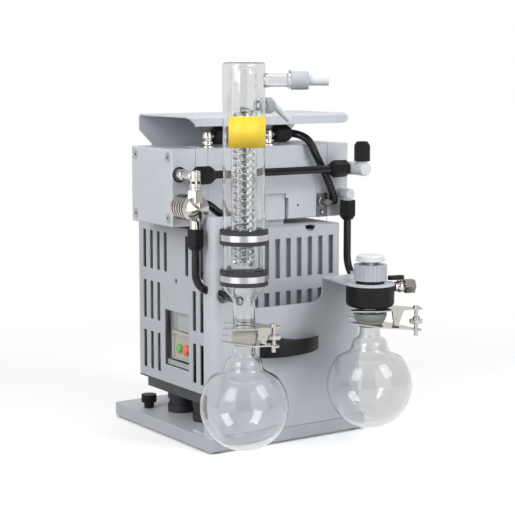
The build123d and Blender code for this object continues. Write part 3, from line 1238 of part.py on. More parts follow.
def clamp_stud(side):
    centre, joint_z, half_width, pivot, stud, reach = CLAMP_STYLES[side]
    low = nut_level(side) - 15
    with BuildPart() as bolt:
        rod(radial(centre, OUTWARD, stud, low), (0, 0, 1), joint_z + JOINT_HALF + 3 - low, STUD_RADIUS)
        rod(radial(centre, OUTWARD, stud, joint_z + JOINT_HALF + FORK_THICK), (0, 0, 1), 2.5, 4)
    return bolt.part


for clamp_side in CLAMP_STYLES:
    save(clamp_fork(clamp_side), f"{clamp_side}_clamp_fork")
    save(clamp_jaw(clamp_side), f"{clamp_side}_clamp_jaw")
    save(clamp_nut(clamp_side), f"{clamp_side}_clamp_nut")
save(Compound(children=[clamp_stud(side) for side in CLAMP_STYLES]), "clamp_studs")

# Separator: ribbed body under the arm, stem through it, screw cap and lid above
BODY_TOP = ARM_TOP - SHEET
with BuildPart() as separator_body:
    rod((*SEPARATOR, BODY_BOTTOM), (0, 0, 1), BODY_TOP - BODY_BOTTOM, BODY_RADIUS)
    fillet(separator_body.faces().sort_by(Axis.Z)[0].edges(), 6)
    for groove in range(BODY_GROOVES):
        with BuildSketch(Plane(origin=(*SEPARATOR, BODY_TOP - 3.5 - 3.6 * groove))):
            Circle(BODY_RADIUS + 1)
            Circle(BODY_RADIUS - 0.5, mode=Mode.SUBTRACT)
        extrude(amount=-0.8, mode=Mode.SUBTRACT)
    rod((*SEPARATOR, BODY_TOP), (0, 0, 1), CAP_TOP - 3 - SLIP - BODY_TOP, STEM_RADIUS)
    rod((*SEPARATOR, ARM_TOP), (0, 0, 1), CAP_BOTTOM - SLIP - ARM_TOP, SEAL_RADIUS)
    hole((*SEPARATOR, BODY_BOTTOM - 1), (0, 0, 1), 11, 10)
    rod(radial(SEPARATOR, SIDE_STUB_ANGLE, 20, SIDE_STUB_Z), heading(SIDE_STUB_ANGLE), 19.8, 6)
save(separator_body.part, "separator_body")

with BuildPart() as separator_joint:
    rod((*SEPARATOR, RIGHT_JOINT_Z - 1), (0, 0, 1), JOINT_HALF + 1, RIGHT_JOINT_RADIUS)
    chamfer(separator_joint.faces().sort_by(Axis.Z)[-1].edges(), 2)
    rod((*SEPARATOR, RIGHT_JOINT_Z - 1), (0, 0, 1), BODY_BOTTOM + 10 - RIGHT_JOINT_Z + 1, 10)
    hole((*SEPARATOR, RIGHT_JOINT_Z - 2), (0, 0, 1), 30, 10 - GLASS)
save(separator_joint.part, "separator_joint")

with BuildPart() as separator_cap:
    with BuildSketch(Plane(origin=(*SEPARATOR, CAP_BOTTOM))):
        Circle(CAP_RADIUS)
        with PolarLocations(CAP_RADIUS + 0.5, CAP_FLUTES):
            Circle(1.3, mode=Mode.SUBTRACT)
    extrude(amount=CAP_TOP - CAP_BOTTOM)
    hole((*SEPARATOR, CAP_BOTTOM - 1), (0, 0, 1), CAP_TOP - 3 - CAP_BOTTOM + 1, STEM_RADIUS + RUNNING)
save(separator_cap.part, "separator_cap")

with BuildPart() as separator_lid:
    with BuildSketch(Plane(origin=(*SEPARATOR, LID_BOTTOM))):
        Circle(LID_RADIUS)
    extrude(amount=2)
    with BuildSketch(Plane(origin=(*SEPARATOR, LID_BOTTOM + 2))):
        Circle(LID_RADIUS - 1.5)
    extrude(amount=5)
    fillet(separator_lid.faces().sort_by(Axis.Z)[-1].edges(), 2.5)
    with BuildSketch(Plane(origin=(*SEPARATOR, CAP_TOP))):
        with PolarLocations(10, 3, start_angle=OUTWARD - 90):
            Circle(2.6)
    extrude(amount=LID_BOTTOM - CAP_TOP)
save(separator_lid.part, "separator_lid")

# Inlet nozzle with its shut-off lever
with BuildPart() as inlet_nozzle:
    rod(radial(SEPARATOR, NOZZLE_ANGLE, BODY_RADIUS - 1, NOZZLE_Z), heading(NOZZLE_ANGLE), 6, 3.2)
    rod(radial(SEPARATOR, NOZZLE_ANGLE, BODY_RADIUS + 1.5, NOZZLE_Z), heading(NOZZLE_ANGLE), 12, 6.8)
    rod(
        radial(SEPARATOR, NOZZLE_ANGLE, BODY_RADIUS + 13, NOZZLE_Z),
        heading(NOZZLE_ANGLE),
        NOZZLE_END - BODY_RADIUS - 13,
        NOZZLE_RADIUS,
    )
    hole(radial(SEPARATOR, NOZZLE_ANGLE, NOZZLE_END + 1, NOZZLE_Z), heading(NOZZLE_ANGLE + 180), 12, 4)
    hole((*SEPARATOR, BODY_BOTTOM), (0, 0, 1), 40, BODY_RADIUS)
    LEVER_SPOT = radial(SEPARATOR, NOZZLE_ANGLE, BODY_RADIUS + 8, NOZZLE_Z)
    rod(LEVER_SPOT, (0, 0, 1), 13, 2.5)
save(inlet_nozzle.part, "inlet_nozzle")

LEVER_Z = NOZZLE_Z + 8.7
with BuildPart() as inlet_lever:
    with BuildSketch(Plane(origin=(LEVER_SPOT[0], LEVER_SPOT[1], LEVER_Z), x_dir=heading(NOZZLE_ANGLE + 180))):
        with Locations((4, 0)):
            SlotOverall(21, 8)
        Circle(2.5 + RUNNING, mode=Mode.SUBTRACT)
    extrude(amount=5)
save(inlet_lever.part, "inlet_lever")
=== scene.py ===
import json
from math import atan2, cos, degrees, pi, radians, sin, sqrt

import bmesh
import bpy
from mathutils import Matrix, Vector


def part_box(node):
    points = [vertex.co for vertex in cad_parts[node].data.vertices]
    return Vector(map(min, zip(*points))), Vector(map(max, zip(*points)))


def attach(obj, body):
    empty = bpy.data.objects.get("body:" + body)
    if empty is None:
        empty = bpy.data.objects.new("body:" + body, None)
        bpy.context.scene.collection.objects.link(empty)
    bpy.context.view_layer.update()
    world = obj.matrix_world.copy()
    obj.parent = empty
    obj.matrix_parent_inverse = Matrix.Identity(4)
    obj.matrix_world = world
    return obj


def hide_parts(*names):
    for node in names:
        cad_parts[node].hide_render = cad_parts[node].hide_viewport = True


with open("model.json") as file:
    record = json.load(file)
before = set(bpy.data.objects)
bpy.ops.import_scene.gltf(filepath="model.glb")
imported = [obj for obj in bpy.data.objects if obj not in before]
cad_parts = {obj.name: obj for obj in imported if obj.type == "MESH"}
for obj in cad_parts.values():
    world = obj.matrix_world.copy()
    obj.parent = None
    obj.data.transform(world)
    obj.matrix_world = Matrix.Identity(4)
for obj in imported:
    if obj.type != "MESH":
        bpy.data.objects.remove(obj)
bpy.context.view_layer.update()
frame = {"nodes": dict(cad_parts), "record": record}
nodes = frame["nodes"]

MM = 0.001
ROOT = "pump_frame"
UP = Vector((0, 0, 1))


def middle(node):
    """Centre of a CAD node's box, in metres."""
    low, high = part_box(node)
    return (Vector(low) + Vector(high)) / 2


PLATE_LOW = Vector(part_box("base_plate")[0])


def on_plate(x, y, z):
    """A point from the base plate's front left corner, in millimetres; z is the height over the floor."""
    return Vector((PLATE_LOW.x + x * MM, PLATE_LOW.y + y * MM, z * MM))


def heading(angle, rise=0.0):
    """Direction at an angle from +X in plan, with a rise per unit of run."""
    return Vector((cos(radians(angle)), sin(radians(angle)), rise)).normalized()


# Materials
def node_of(tree, kind, **values):
    node = tree.nodes.new(kind)
    for key, value in values.items():
        setattr(node, key, value)
    return node


def new_tree(name):
    material = bpy.data.materials.new(name)
    material.use_nodes = True
    tree = material.node_tree
    tree.nodes.clear()
    output = tree.nodes.new("ShaderNodeOutputMaterial")
    return material, tree, output


def noise_field(tree, scale, detail=4.0, stretch=None):
    """Noise in object coordinates, in metres, stretched along one axis if asked."""
    place = tree.nodes.new("ShaderNodeTexCoord")
    noise = tree.nodes.new("ShaderNodeTexNoise")
    noise.inputs["Scale"].default_value = scale
    noise.inputs["Detail"].default_value = detail
    if stretch:
        mapping = tree.nodes.new("ShaderNodeMapping")
        mapping.inputs["Scale"].default_value = stretch
        tree.links.new(place.outputs["Object"], mapping.inputs["Vector"])
        tree.links.new(mapping.outputs["Vector"], noise.inputs["Vector"])
    else:
        tree.links.new(place.outputs["Object"], noise.inputs["Vector"])
    return noise.outputs["Fac"]


def spread(tree, field, low, high):
    ramp = tree.nodes.new("ShaderNodeMapRange")
    ramp.inputs["From Min"].default_value = 0.3
    ramp.inputs["From Max"].default_value = 0.7
    ramp.inputs["To Min"].default_value = low
    ramp.inputs["To Max"].default_value = high
    tree.links.new(field, ramp.inputs["Value"])
    return ramp.outputs["Result"]


def finish(name, colour, rough, metal=0.0, grain=900.0, depth=0.02, shade=0.04, stretch=None, sheen=0.5):
    """Opaque finish: fine bump, a little change of tone and of gloss over the surface."""
    material, tree, output = new_tree(name)
    shader = tree.nodes.new("ShaderNodeBsdfPrincipled")
    shader.inputs["Metallic"].default_value = metal
    shader.inputs["Specular IOR Level"].default_value = sheen
    tree.links.new(shader.outputs["BSDF"], output.inputs["Surface"])
    broad = noise_field(tree, 28.0, 3.0)
    tone = node_of(tree, "ShaderNodeMix", data_type="RGBA")
    tone.inputs["A"].default_value = (*[c * (1 - shade) for c in colour], 1)
    tone.inputs["B"].default_value = (*[min(1.0, c * (1 + shade)) for c in colour], 1)
    tree.links.new(spread(tree, broad, 0.0, 1.0), tone.inputs["Factor"])
    tree.links.new(tone.outputs["Result"], shader.inputs["Base Color"])
    tree.links.new(spread(tree, broad, rough * 0.88, rough * 1.12), shader.inputs["Roughness"])
    fine = noise_field(tree, grain, 6.0, stretch)
    bump = tree.nodes.new("ShaderNodeBump")
    bump.inputs["Strength"].default_value = 1.0
    bump.inputs["Distance"].default_value = depth * MM
    tree.links.new(fine, bump.inputs["Height"])
    tree.links.new(bump.outputs["Normal"], shader.inputs["Normal"])
    return material


def clear_glass(name, tint, rough=0.0):
    """Glass that lets lamp light through, so its shadow on the floor stays pale."""
    material, tree, output = new_tree(name)
    shader = tree.nodes.new("ShaderNodeBsdfPrincipled")
    shader.inputs["Base Color"].default_value = (*tint, 1)
    shader.inputs["Roughness"].default_value = rough
    shader.inputs["Transmission Weight"].default_value = 1.0
    shader.inputs["IOR"].default_value = 1.47
    ripple = noise_field(tree, 60.0, 2.0)
    bump = tree.nodes.new("ShaderNodeBump")
    bump.inputs["Strength"].default_value = 0.25
    bump.inputs["Distance"].default_value = 0.02 * MM
    tree.links.new(ripple, bump.inputs["Height"])
    tree.links.new(bump.outputs["Normal"], shader.inputs["Normal"])
    through = tree.nodes.new("ShaderNodeBsdfTransparent")
    through.inputs["Color"].default_value = (0.93, 0.94, 0.95, 1)
    path = tree.nodes.new("ShaderNodeLightPath")
    mix = tree.nodes.new("ShaderNodeMixShader")
    tree.links.new(path.outputs["Is Shadow Ray"], mix.inputs["Fac"])
    tree.links.new(shader.outputs["BSDF"], mix.inputs[1])
    tree.links.new(through.outputs["BSDF"], mix.inputs[2])
    tree.links.new(mix.outputs["Shader"], output.inputs["Surface"])
    return material


LOOKS = {
    "grey_sheet": finish("grey_powder_coat", (0.5, 0.515, 0.555), 0.42, depth=0.012),
    "blue_grey": finish("blue_grey_powder_coat", (0.56, 0.585, 0.63), 0.36, depth=0.012),
    "cast_head": finish("head_paint", (0.57, 0.59, 0.635), 0.36, grain=500.0, depth=0.02),
    "black_plastic": finish(
        "black_moulding", (0.009, 0.009, 0.0095), 0.45, grain=1500.0, depth=0.02, shade=0.2, sheen=0.2
    ),
    "black_rubber": finish("black_rubber", (0.02, 0.02, 0.022), 0.6, grain=800.0, depth=0.03, shade=0.2),
    "hose_black": finish(
        "hose_rubber", (0.006, 0.006, 0.007), 0.2, grain=400.0, depth=0.01, shade=0.2, sheen=0.35
    ),
    "nickel": finish("satin_nickel", (0.56, 0.535, 0.5), 0.1, 1.0, grain=900.0, depth=0.002),
    "steel": finish(
        "brushed_steel", (0.48, 0.49, 0.51), 0.24, 1.0, grain=300.0, depth=0.002, stretch=(1, 1, 14)
    ),
    "dark_steel": finish("dark_steel", (0.2, 0.2, 0.21), 0.35, 1.0, grain=700.0, depth=0.01),
    "white_plastic": finish("white_polymer", (0.7, 0.72, 0.74), 0.35, grain=300.0, depth=0.02, shade=0.02),
    "cap_grey": finish("grey_cap", (0.46, 0.49, 0.525), 0.4, grain=600.0, depth=0.02),
    "beige_plastic": finish("beige_moulding", (0.5, 0.46, 0.38), 0.4, grain=900.0, depth=0.01),
    "green_button": finish("green_button", (0.02, 0.3, 0.14), 0.3, grain=900.0, depth=0.006),
    "red_button": finish("red_button", (0.65, 0.06, 0.02), 0.3, grain=900.0, depth=0.006),
    "glass": clear_glass("clear_glass", (0.995, 1.0, 1.0)),
    "cast_alu": finish("cast_aluminium", (0.3, 0.3, 0.32), 0.5, 1.0, grain=400.0, depth=0.08),
}
FILM = finish("yellow_film", (0.9, 0.64, 0.04), 0.42, grain=200.0, depth=0.01, shade=0.02)
FLASK_GLASS = clear_glass("flask_glass", (0.95, 0.953, 0.957))
FROSTED = finish("ground_glass", (0.6, 0.59, 0.55), 0.55, grain=900.0, depth=0.02)
SOCKET = finish("ground_socket", (0.33, 0.36, 0.35), 0.5, grain=900.0, depth=0.02)
# Painted shade: near black, put in seams, holes, a crease and a recess where shade falls
SHADE = finish("painted_gap_shade", (0.02, 0.02, 0.022), 0.7, grain=900.0, depth=0.01)
SHINE = finish("polished_nickel", (0.62, 0.59, 0.555), 0.14, 1.0, grain=900.0, depth=0.003)
# Gunmetal: the colour of the inlet hexagon, the plate fitting and the wall screw, and painted shade on the
# valve's groove floors
GUNMETAL_AND_SHADE = finish("gunmetal_and_groove_shade", (0.2, 0.19, 0.18), 0.3, 1.0, grain=900.0, depth=0.01)
PLATE = finish("blank_plate", (0.42, 0.44, 0.46), 0.35, grain=900.0, depth=0.005)
GREEN = finish("green_disc", (0.14, 0.5, 0.09), 0.3, grain=900.0, depth=0.006)
ORANGE = finish("orange_disc", (0.9, 0.14, 0.05), 0.3, grain=900.0, depth=0.006)
# Painted shade: the tray is coloured near black to stand for the shade under the housing
SHADED_TRAY = finish("tray_painted_shade", (0.036, 0.038, 0.043), 0.5, depth=0.012)

SHARP_EDGE = 32
for entry in frame["record"]["subparts"]:
    piece = nodes[entry["node"]]
    piece.data.materials.clear()
    piece.data.materials.append(LOOKS[entry["material_slot"]])
    for face in piece.data.polygons:
        face.use_smooth = True
    piece.data.set_sharp_from_angle(angle=radians(SHARP_EDGE))
# The pump tray takes the near-black painted shade in place of its paint
nodes["pump_tray"].data.materials[0] = SHADED_TRAY

# Width of each node's rounded edges, in millimetres
ROUNDED_EDGES = {
    "base_plate": 0.5, "front_panel": 0.3, "pump_tray": 0.5, "motor_housing": 0.25, "crankcase": 0.4,
    "left_head": 0.5, "right_head": 0.5, "carry_plate": 0.3, "hose_nuts": 0.35, "panel_grip": 0.3,
    "elbow_plate": 0.2, "left_clamp_fork": 0.2, "right_clamp_fork": 0.2, "left_clamp_jaw": 0.2,
    "right_clamp_jaw": 0.2, "switch_block": 0.3, "separator_cap": 0.3, "rubber_buffers": 0.5,
    "transport_screw": 0.4, "inlet_lever": 0.5, "inlet_nozzle": 0.4, "head_screws": 0.3,
    "condenser_caps": 0.3, "condenser_rings": 1.6, "valve_body": 0.3, "nickel_elbows": 0.4, "plate_feet": 0.6,
    "ring_brackets": 0.5, "mains_gland": 0.4,
}
for name, width in ROUNDED_EDGES.items():
    bevel = nodes[name].modifiers.new("edge", "BEVEL")
    bevel.width = width * MM
    bevel.segments = 2
    bevel.limit_method = "ANGLE"
    bevel.angle_limit = radians(40)


# Mesh helpers
def add_piece(name, mesh, look, body=ROOT, stands_for=(), slot=None, sharp=40):
    """Adds a finished mesh to the scene on a CAD body, in place of the nodes it stands for."""
    piece = bpy.data.objects.new(name, mesh)
    bpy.context.scene.collection.objects.link(piece)
    mesh.materials.append(look if not isinstance(look, str) else LOOKS[look])
    for face in mesh.polygons:
        face.use_smooth = True
    mesh.set_sharp_from_angle(angle=radians(sharp))
    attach(piece, body)
    if stands_for:
        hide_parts(*stands_for)
    return piece


def to_mesh(name, builder):
    mesh = bpy.data.meshes.new(name)
    bmesh.ops.recalc_face_normals(builder, faces=builder.faces)
    builder.to_mesh(mesh)
    builder.free()
    return mesh


def turned(builder, profile, at, axis=UP, segments=72):
    """Adds a turned shape: profile points are (radius, distance along the axis) in millimetres."""
    axis = Vector(axis).normalized()
    turn = axis.to_track_quat("Z", "Y").to_matrix()
    rings = []
    for radius, along in profile:
        if radius < 1e-6:
            rings.append([builder.verts.new(Vector(at) + axis * along * MM)])
            continue
        ring = []
        for i in range(segments):
            angle = 2 * pi * i / segments
            local = Vector((radius * cos(angle), radius * sin(angle), along)) * MM
            ring.append(builder.verts.new(Vector(at) + turn @ local))
        rings.append(ring)
    for low, high in zip(rings, rings[1:]):
        for i in range(segments):
            j = (i + 1) % segments
            corners = [low[i % len(low)], low[j % len(low)], high[j % len(high)], high[i % len(high)]]
            distinct = list(dict.fromkeys(corners))
            if len(distinct) > 2:
                builder.faces.new(distinct)
    return rings


def close_ends(builder, rings):
    for ring in (rings[0], rings[-1]):
        if len(ring) > 2:
            builder.faces.new(ring)


def lathe(name, profile, at, look, axis=UP, segments=72, closed=False, **how):
    """One turned piece. A closed profile joins its last point to its first."""
    builder = bmesh.new()
    rings = turned(builder, list(profile) + ([profile[0]] if closed else []), at, axis, segments)
    if closed:
        bmesh.ops.remove_doubles(builder, verts=builder.verts, dist=1e-7)
    else:
        close_ends(builder, rings)
    return add_piece(name, to_mesh(name, builder), look, **how)


def tube_along(builder, path, radius, sides):
    """Adds a round tube with closed ends along a path of points in metres; radius in millimetres."""
    rings = []
    tangent = (path[1] - path[0]).normalized()
    side = tangent.orthogonal().normalized()
    for i, point in enumerate(path):
        ahead = path[min(i + 1, len(path) - 1)] - path[max(i - 1, 0)]
        ahead.normalize()
        side = (side - ahead * side.dot(ahead)).normalized()
        other = ahead.cross(side)
        ring = []
        for k in range(sides):
            angle = 2 * pi * k / sides
            ring.append(builder.verts.new(point + (side * cos(angle) + other * sin(angle)) * radius * MM))
        rings.append(ring)
    for low, high in zip(rings, rings[1:]):
        for k in range(sides):
            j = (k + 1) % sides
            builder.faces.new([low[k], low[j], high[j], high[k]])
    close_ends(builder, rings)


def strip(builder, low, high):
    """Adds a box between two corners, in metres."""
    spots = [
        builder.verts.new((x, y, z))
        for x in (low[0], high[0])
        for y in (low[1], high[1])
        for z in (low[2], high[2])
    ]
    for side in ((0, 1, 3, 2), (4, 6, 7, 5), (0, 4, 5, 1), (2, 3, 7, 6), (0, 2, 6, 4), (1, 5, 7, 3)):
        builder.faces.new([spots[k] for k in side])


# Condenser glass: jacket, inner tube and coil
condenser = middle("condenser_rings")
CONDENSER = Vector((condenser.x, condenser.y, 0))
jacket_low, jacket_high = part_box("condenser_jacket")
JOINT_BASE = jacket_low[2] / MM
JACKET_TOP = jacket_high[2] / MM
JACKET_RADIUS = 24.6
NECK_RADIUS = 12.8
JOINT_RADIUS = 13.6
WALL = 1.6
TAPER_LOW = 192.0
TAPER_RISE = 22.0
TAPER_STEPS = 12
CROWN = 3.0


def jacket_profile(inset):
    """Half outline of the jacket from its taper to its rounded top."""
    taper = []
    for i in range(TAPER_STEPS + 1):
        t = i / TAPER_STEPS
        smooth = t * t * (3 - 2 * t)
        radius = NECK_RADIUS + (JACKET_RADIUS - NECK_RADIUS) * smooth
        taper.append((radius - inset, TAPER_LOW + TAPER_RISE * t))
    top = [
        (JACKET_RADIUS - CROWN + (CROWN - inset) * cos(a), JACKET_TOP - CROWN + (CROWN - inset) * sin(a))
        for a in [radians(10 * i) for i in range(1, 10)]
    ]
    return taper + [(JACKET_RADIUS - inset, JACKET_TOP - CROWN)] + top


foot_profile = [
    (NECK_RADIUS - WALL, JOINT_BASE),
    (JOINT_RADIUS - 1, JOINT_BASE),
    (JOINT_RADIUS, JOINT_BASE + 1.2),
    (JOINT_RADIUS, JOINT_BASE + 4.5),
    (JOINT_RADIUS - 1.5, JOINT_BASE + 6),
    (NECK_RADIUS + 0.6, JOINT_BASE + 7.5),
    (NECK_RADIUS, JOINT_BASE + 9),
]
skin = foot_profile + jacket_profile(0.0) + [(0.0, JACKET_TOP)]
lining = [(0.0, JACKET_TOP - WALL)] + jacket_profile(WALL)[::-1] + [(NECK_RADIUS - WALL, JOINT_BASE + 0.01)]
glass = bmesh.new()
turned(glass, skin + lining, CONDENSER, segments=96)
bmesh.ops.remove_doubles(glass, verts=glass.verts, dist=2e-5)

# Its three side tubes: height, direction and closed profile
SIDE_TUBE_Z = 450.0
SIDE_ANGLE = -34.0
LOWER_TUBE_Z = 421.0
LOWER_ANGLE = 8.0
INLET_Z = 193.5
INLET_HOLE = on_plate(20, 0.5, 0)


def side_tube(height, way, profile, segments):
    """Adds a hollow tube that leaves the jacket sideways."""
    turned(glass, profile + profile[:1], CONDENSER + UP * height * MM, way, segments)


side_tube(SIDE_TUBE_Z, heading(SIDE_ANGLE), [
    (5.9, JACKET_RADIUS - 1.2), (8.6, JACKET_RADIUS - 0.8), (7.7, JACKET_RADIUS + 2.5),
    (7.5, JACKET_RADIUS + 5), (7.5, 49.0), (9.0, 50.5), (12.2, 51.2), (12.2, 53.6), (11.4, 54.0), (5.9, 54.0),
], 48)
side_tube(LOWER_TUBE_Z, heading(LOWER_ANGLE), [
    (3.4, JACKET_RADIUS - 0.8), (6.2, JACKET_RADIUS - 0.4), (5.2, JACKET_RADIUS + 2),
    (5.0, 33.0), (3.4, 33.0),
], 32)
side_tube(INLET_Z, (INLET_HOLE - CONDENSER).normalized(), [
    (3.2, NECK_RADIUS - 0.6), (6.0, NECK_RADIUS - 0.2), (4.9, NECK_RADIUS + 2), (4.9, 22.0), (3.2, 22.0),
], 32)
add_piece("condenser_glass", to_mesh("condenser_glass", glass), "glass", stands_for=("condenser_jacket",))

core_low, core_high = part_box("condenser_core")
CORE_RADIUS = 15.1
CORE_WALL = 1.4
CORE_CROWN = 8.0
CORE_MOUTH = 3.0
CORE_LOW = core_low[2] / MM
CORE_HIGH = core_high[2] / MM


def crown_arc(radius, angles):
    """Points on the inner tube's rounded top, at the angles given in degrees."""
    return [
        (
            CORE_RADIUS - CORE_CROWN + radius * cos(radians(a)),
            CORE_HIGH - CORE_CROWN + radius * sin(radians(a)),
        )
        for a in angles
    ]


core_profile = [
    (CORE_RADIUS, CORE_LOW + 0.5), (CORE_RADIUS, CORE_LOW + 26), (CORE_RADIUS - 0.8, CORE_LOW + 30),
    (CORE_RADIUS, CORE_LOW + 34), (CORE_RADIUS, CORE_HIGH - CORE_CROWN),
    *crown_arc(CORE_CROWN, range(10, 81, 10)),
    (CORE_MOUTH, CORE_HIGH), (CORE_MOUTH, CORE_HIGH - CORE_WALL),
    (CORE_RADIUS - CORE_CROWN, CORE_HIGH - CORE_WALL),
    *crown_arc(CORE_CROWN - CORE_WALL, range(80, 9, -10)),
    (CORE_RADIUS - CORE_WALL, CORE_HIGH - CORE_CROWN), (CORE_RADIUS - CORE_WALL, CORE_LOW + 0.5),
]
lathe("condenser_inner_tube", core_profile, CONDENSER, "glass", closed=True, stands_for=("condenser_core",))

coil_low, coil_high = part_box("condenser_coil")
COIL_LOW = coil_low[2] / MM
COIL_HIGH = coil_high[2] / MM
COIL_RADIUS = 9.6
COIL_TUBE = 3.1
COIL_PITCH = 8.0
STRAIGHT_TUBE = 2.6
TUBE_SIDES = 14
coil_rise = COIL_HIGH - COIL_LOW - 2 * COIL_TUBE
turns = coil_rise / COIL_PITCH
steps = int(turns * (30))
coil_path = [
    CONDENSER
    + Vector(
        (
            COIL_RADIUS * MM * cos(2 * pi * turns * i / steps),
            COIL_RADIUS * MM * sin(2 * pi * turns * i / steps),
            (COIL_LOW + COIL_TUBE + coil_rise * i / steps) * MM,
        )
    )
    for i in range(steps + 1)
]
coil = bmesh.new()
tube_along(coil, coil_path, COIL_TUBE, TUBE_SIDES)
straight = [CONDENSER + UP * (COIL_LOW + 1) * MM, CONDENSER + UP * (COIL_HIGH - 1) * MM]
tube_along(coil, straight, STRAIGHT_TUBE, TUBE_SIDES)
add_piece("condenser_spiral", to_mesh("condenser_spiral", coil), "glass", stands_for=("condenser_coil",))

# Yellow film round the jacket, left blank
FILM_LOW = 374.0
FILM_HIGH = 410.0
FILM_START = -168.0
FILM_END = -14.0
FILM_LIFT = 0.25
FILM_THICKNESS = 0.2
FILM_COLUMNS = 48
film = bmesh.new()
grid = []
for i in range(FILM_COLUMNS + 1):
    way = heading(FILM_START + (FILM_END - FILM_START) * i / FILM_COLUMNS)
    foot = CONDENSER + way * (JACKET_RADIUS + FILM_LIFT) * MM
    grid.append([film.verts.new(foot + UP * z * MM) for z in (FILM_LOW, FILM_HIGH)])
for left, right in zip(grid, grid[1:]):
    film.faces.new([left[0], right[0], right[1], left[1]])
film_piece = add_piece("condenser_film", to_mesh("condenser_film", film), FILM, slot="white_plastic")
thick = film_piece.modifiers.new("thickness", "SOLIDIFY")
thick.thickness = FILM_THICKNESS * MM
thick.offset = 1

# Flasks
FLASK_RADIUS = 52.5
FLASK_WALL = 1.7
FLASK_RIM = 13.4
SHOULDER_RADIUS = 35.0
BALL_STEPS = 48
# Radius and height over the ball's centre, down the neck and round the shoulder
SHOULDER = (
    (NECK_RADIUS, 66), (12.9, 63.5), (13.8, 61.2), (16.5, 58.8), (19.2, 57), (20.8, 54.6), (21.8, 51),
    (22.7, 47), (24.4, 43.6), (28, 41), (33, 38.4),
)


def flask(name, node):
    """A hollow flask: ball, shoulder, neck and rim outside, and the same again inside."""
    low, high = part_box(node)
    spot = middle(node)
    top = high[2] / MM
    heart = low[2] / MM + FLASK_RADIUS
    inner_radius = FLASK_RADIUS - FLASK_WALL
    reach = degrees(atan2(SHOULDER_RADIUS, sqrt(FLASK_RADIUS**2 - SHOULDER_RADIUS**2)))
    outer_angles = [radians(-90 + (reach + 90) * i / BALL_STEPS) for i in range(BALL_STEPS + 1)]
    inner_angles = [radians(reach + (-90 - reach) * i / BALL_STEPS) for i in range(BALL_STEPS + 1)]
    profile = (
        [(FLASK_RADIUS * cos(a), heart + FLASK_RADIUS * sin(a)) for a in outer_angles]
        + [(radius, heart + z) for radius, z in SHOULDER[::-1]]
        + [
            (NECK_RADIUS, top - 13), (NECK_RADIUS + 0.8, top - 9), (FLASK_RIM - 1.2, top - 5.5),
            (FLASK_RIM, top - 4.2), (FLASK_RIM, top - 0.8), (FLASK_RIM - 0.8, top),
            (NECK_RADIUS - FLASK_WALL, top),
        ]
        + [(radius - FLASK_WALL, heart + z - 0.7) for radius, z in SHOULDER]
        + [(inner_radius * cos(a), heart + inner_radius * sin(a)) for a in inner_angles]
    )
    profile[0] = (0.0, heart - FLASK_RADIUS)
    profile[-1] = (0.0, heart - inner_radius)
    builder = bmesh.new()
    turned(builder, profile, Vector((spot.x, spot.y, 0)), segments=112)
    add_piece(name, to_mesh(name, builder), FLASK_GLASS, stands_for=(node,), slot="glass")


flask("left_flask_glass", "left_flask")
flask("right_flask_glass", "right_flask")


# Ground joints between the clamp plates
def mouth(node):
    """Centre of a flask's open top."""
    spot = middle(node)
    return Vector((spot.x, spot.y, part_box(node)[1][2]))


lathe("left_ground_joint", [
    (13.0, -13.5), (13.7, -13), (15.6, -5), (16.0, -4), (16.0, -0.6), (15.5, -0.2), (15.5, 0.2), (16.0, 0.6),
    (16.0, 3.5), (15.0, 5), (13.8, 6.2), (13.8, 1), (13.0, -4),
], mouth("left_flask"), FROSTED, closed=True, slot="glass")
lathe("right_ground_joint", [
    (13.6, -14), (14.6, -12.2), (14.9, -10.6), (16.0, -10), (17.2, -7.8), (17.5, -6.2), (18.4, -5.6),
    (19.4, -3.2), (20.0, -1.4), (20.7, 0.4), (20.7, 2.6), (20.3, 3.2), (20.3, -0.2), (13.6, -0.2),
], mouth("right_flask"), SOCKET, closed=True, slot="glass")


# Springs on the clamps' studs
SPRING_RADIUS = 4.0
SPRING_WIRE = 0.5
SPRING_TURNS = 4
STEPS_PER_TURN = 14
SPRING_LIFT = 2.4
SHORTEST_SPRING = 3.0


def spring(builder, start, length):
    """An upright coil of wire; its length is in millimetres."""
    side = UP.orthogonal().normalized()
    other = UP.cross(side)
    count = SPRING_TURNS * STEPS_PER_TURN
    path = []
    for i in range(count + 1):
        angle = 2 * pi * SPRING_TURNS * i / count
        middle_point = Vector(start) + UP * (length * i / count) * MM
        path.append(middle_point + (side * cos(angle) + other * sin(angle)) * SPRING_RADIUS * MM)
    tube_along(builder, path, SPRING_WIRE, 8)


springs = bmesh.new()
for side_name in ("left", "right"):
    nut_spot = middle(side_name + "_clamp_nut")
    nut_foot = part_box(side_name + "_clamp_nut")[0][2]
    fork_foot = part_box(side_name + "_clamp_fork")[0][2]
    gap = (nut_foot - fork_foot) / MM - 2.5
    spring(springs, (nut_spot.x, nut_spot.y, fork_foot + SPRING_LIFT * MM), max(SHORTEST_SPRING, gap))
add_piece("clamp_springs", to_mesh("clamp_springs", springs), SHINE, slot="nickel")

# Parting lines of the heads, as seams of painted shade on the crankcase
case_low, case_high = (Vector(v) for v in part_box("crankcase"))
SEAM = 0.25 * MM
PROUD = 0.06 * MM
seams = bmesh.new()
for seam_x in (case_low.x + SEAM, case_high.x - SEAM):
    near, far = seam_x - SEAM, seam_x + SEAM
    strip(seams, (near, case_low.y - PROUD, case_low.z), (far, case_low.y + PROUD, case_high.z))
    strip(seams, (near, case_low.y, case_high.z - PROUD), (far, case_high.y, case_high.z + PROUD))
add_piece("head_seam_shade", to_mesh("head_seam_shade", seams), SHADE, slot="black_rubber")

# Rubber ring at the root of the left port
UPPER_PORT_Z = 336
TO_FRONT = (0, -1, 0)
lathe("port_ring", [(7.2, -1.2), (8.6, -1.6), (9.6, -0.6), (9.6, 0.6), (8.6, 1.6), (7.2, 1.2)],
      on_plate(-5.5, 59.9, UPPER_PORT_Z), "black_rubber", axis=TO_FRONT, segments=40, closed=True)

# Switch: a recessed box with two round buttons, its frame, and blank plates above and below it
house_low, house_high = (Vector(v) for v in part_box("motor_housing"))


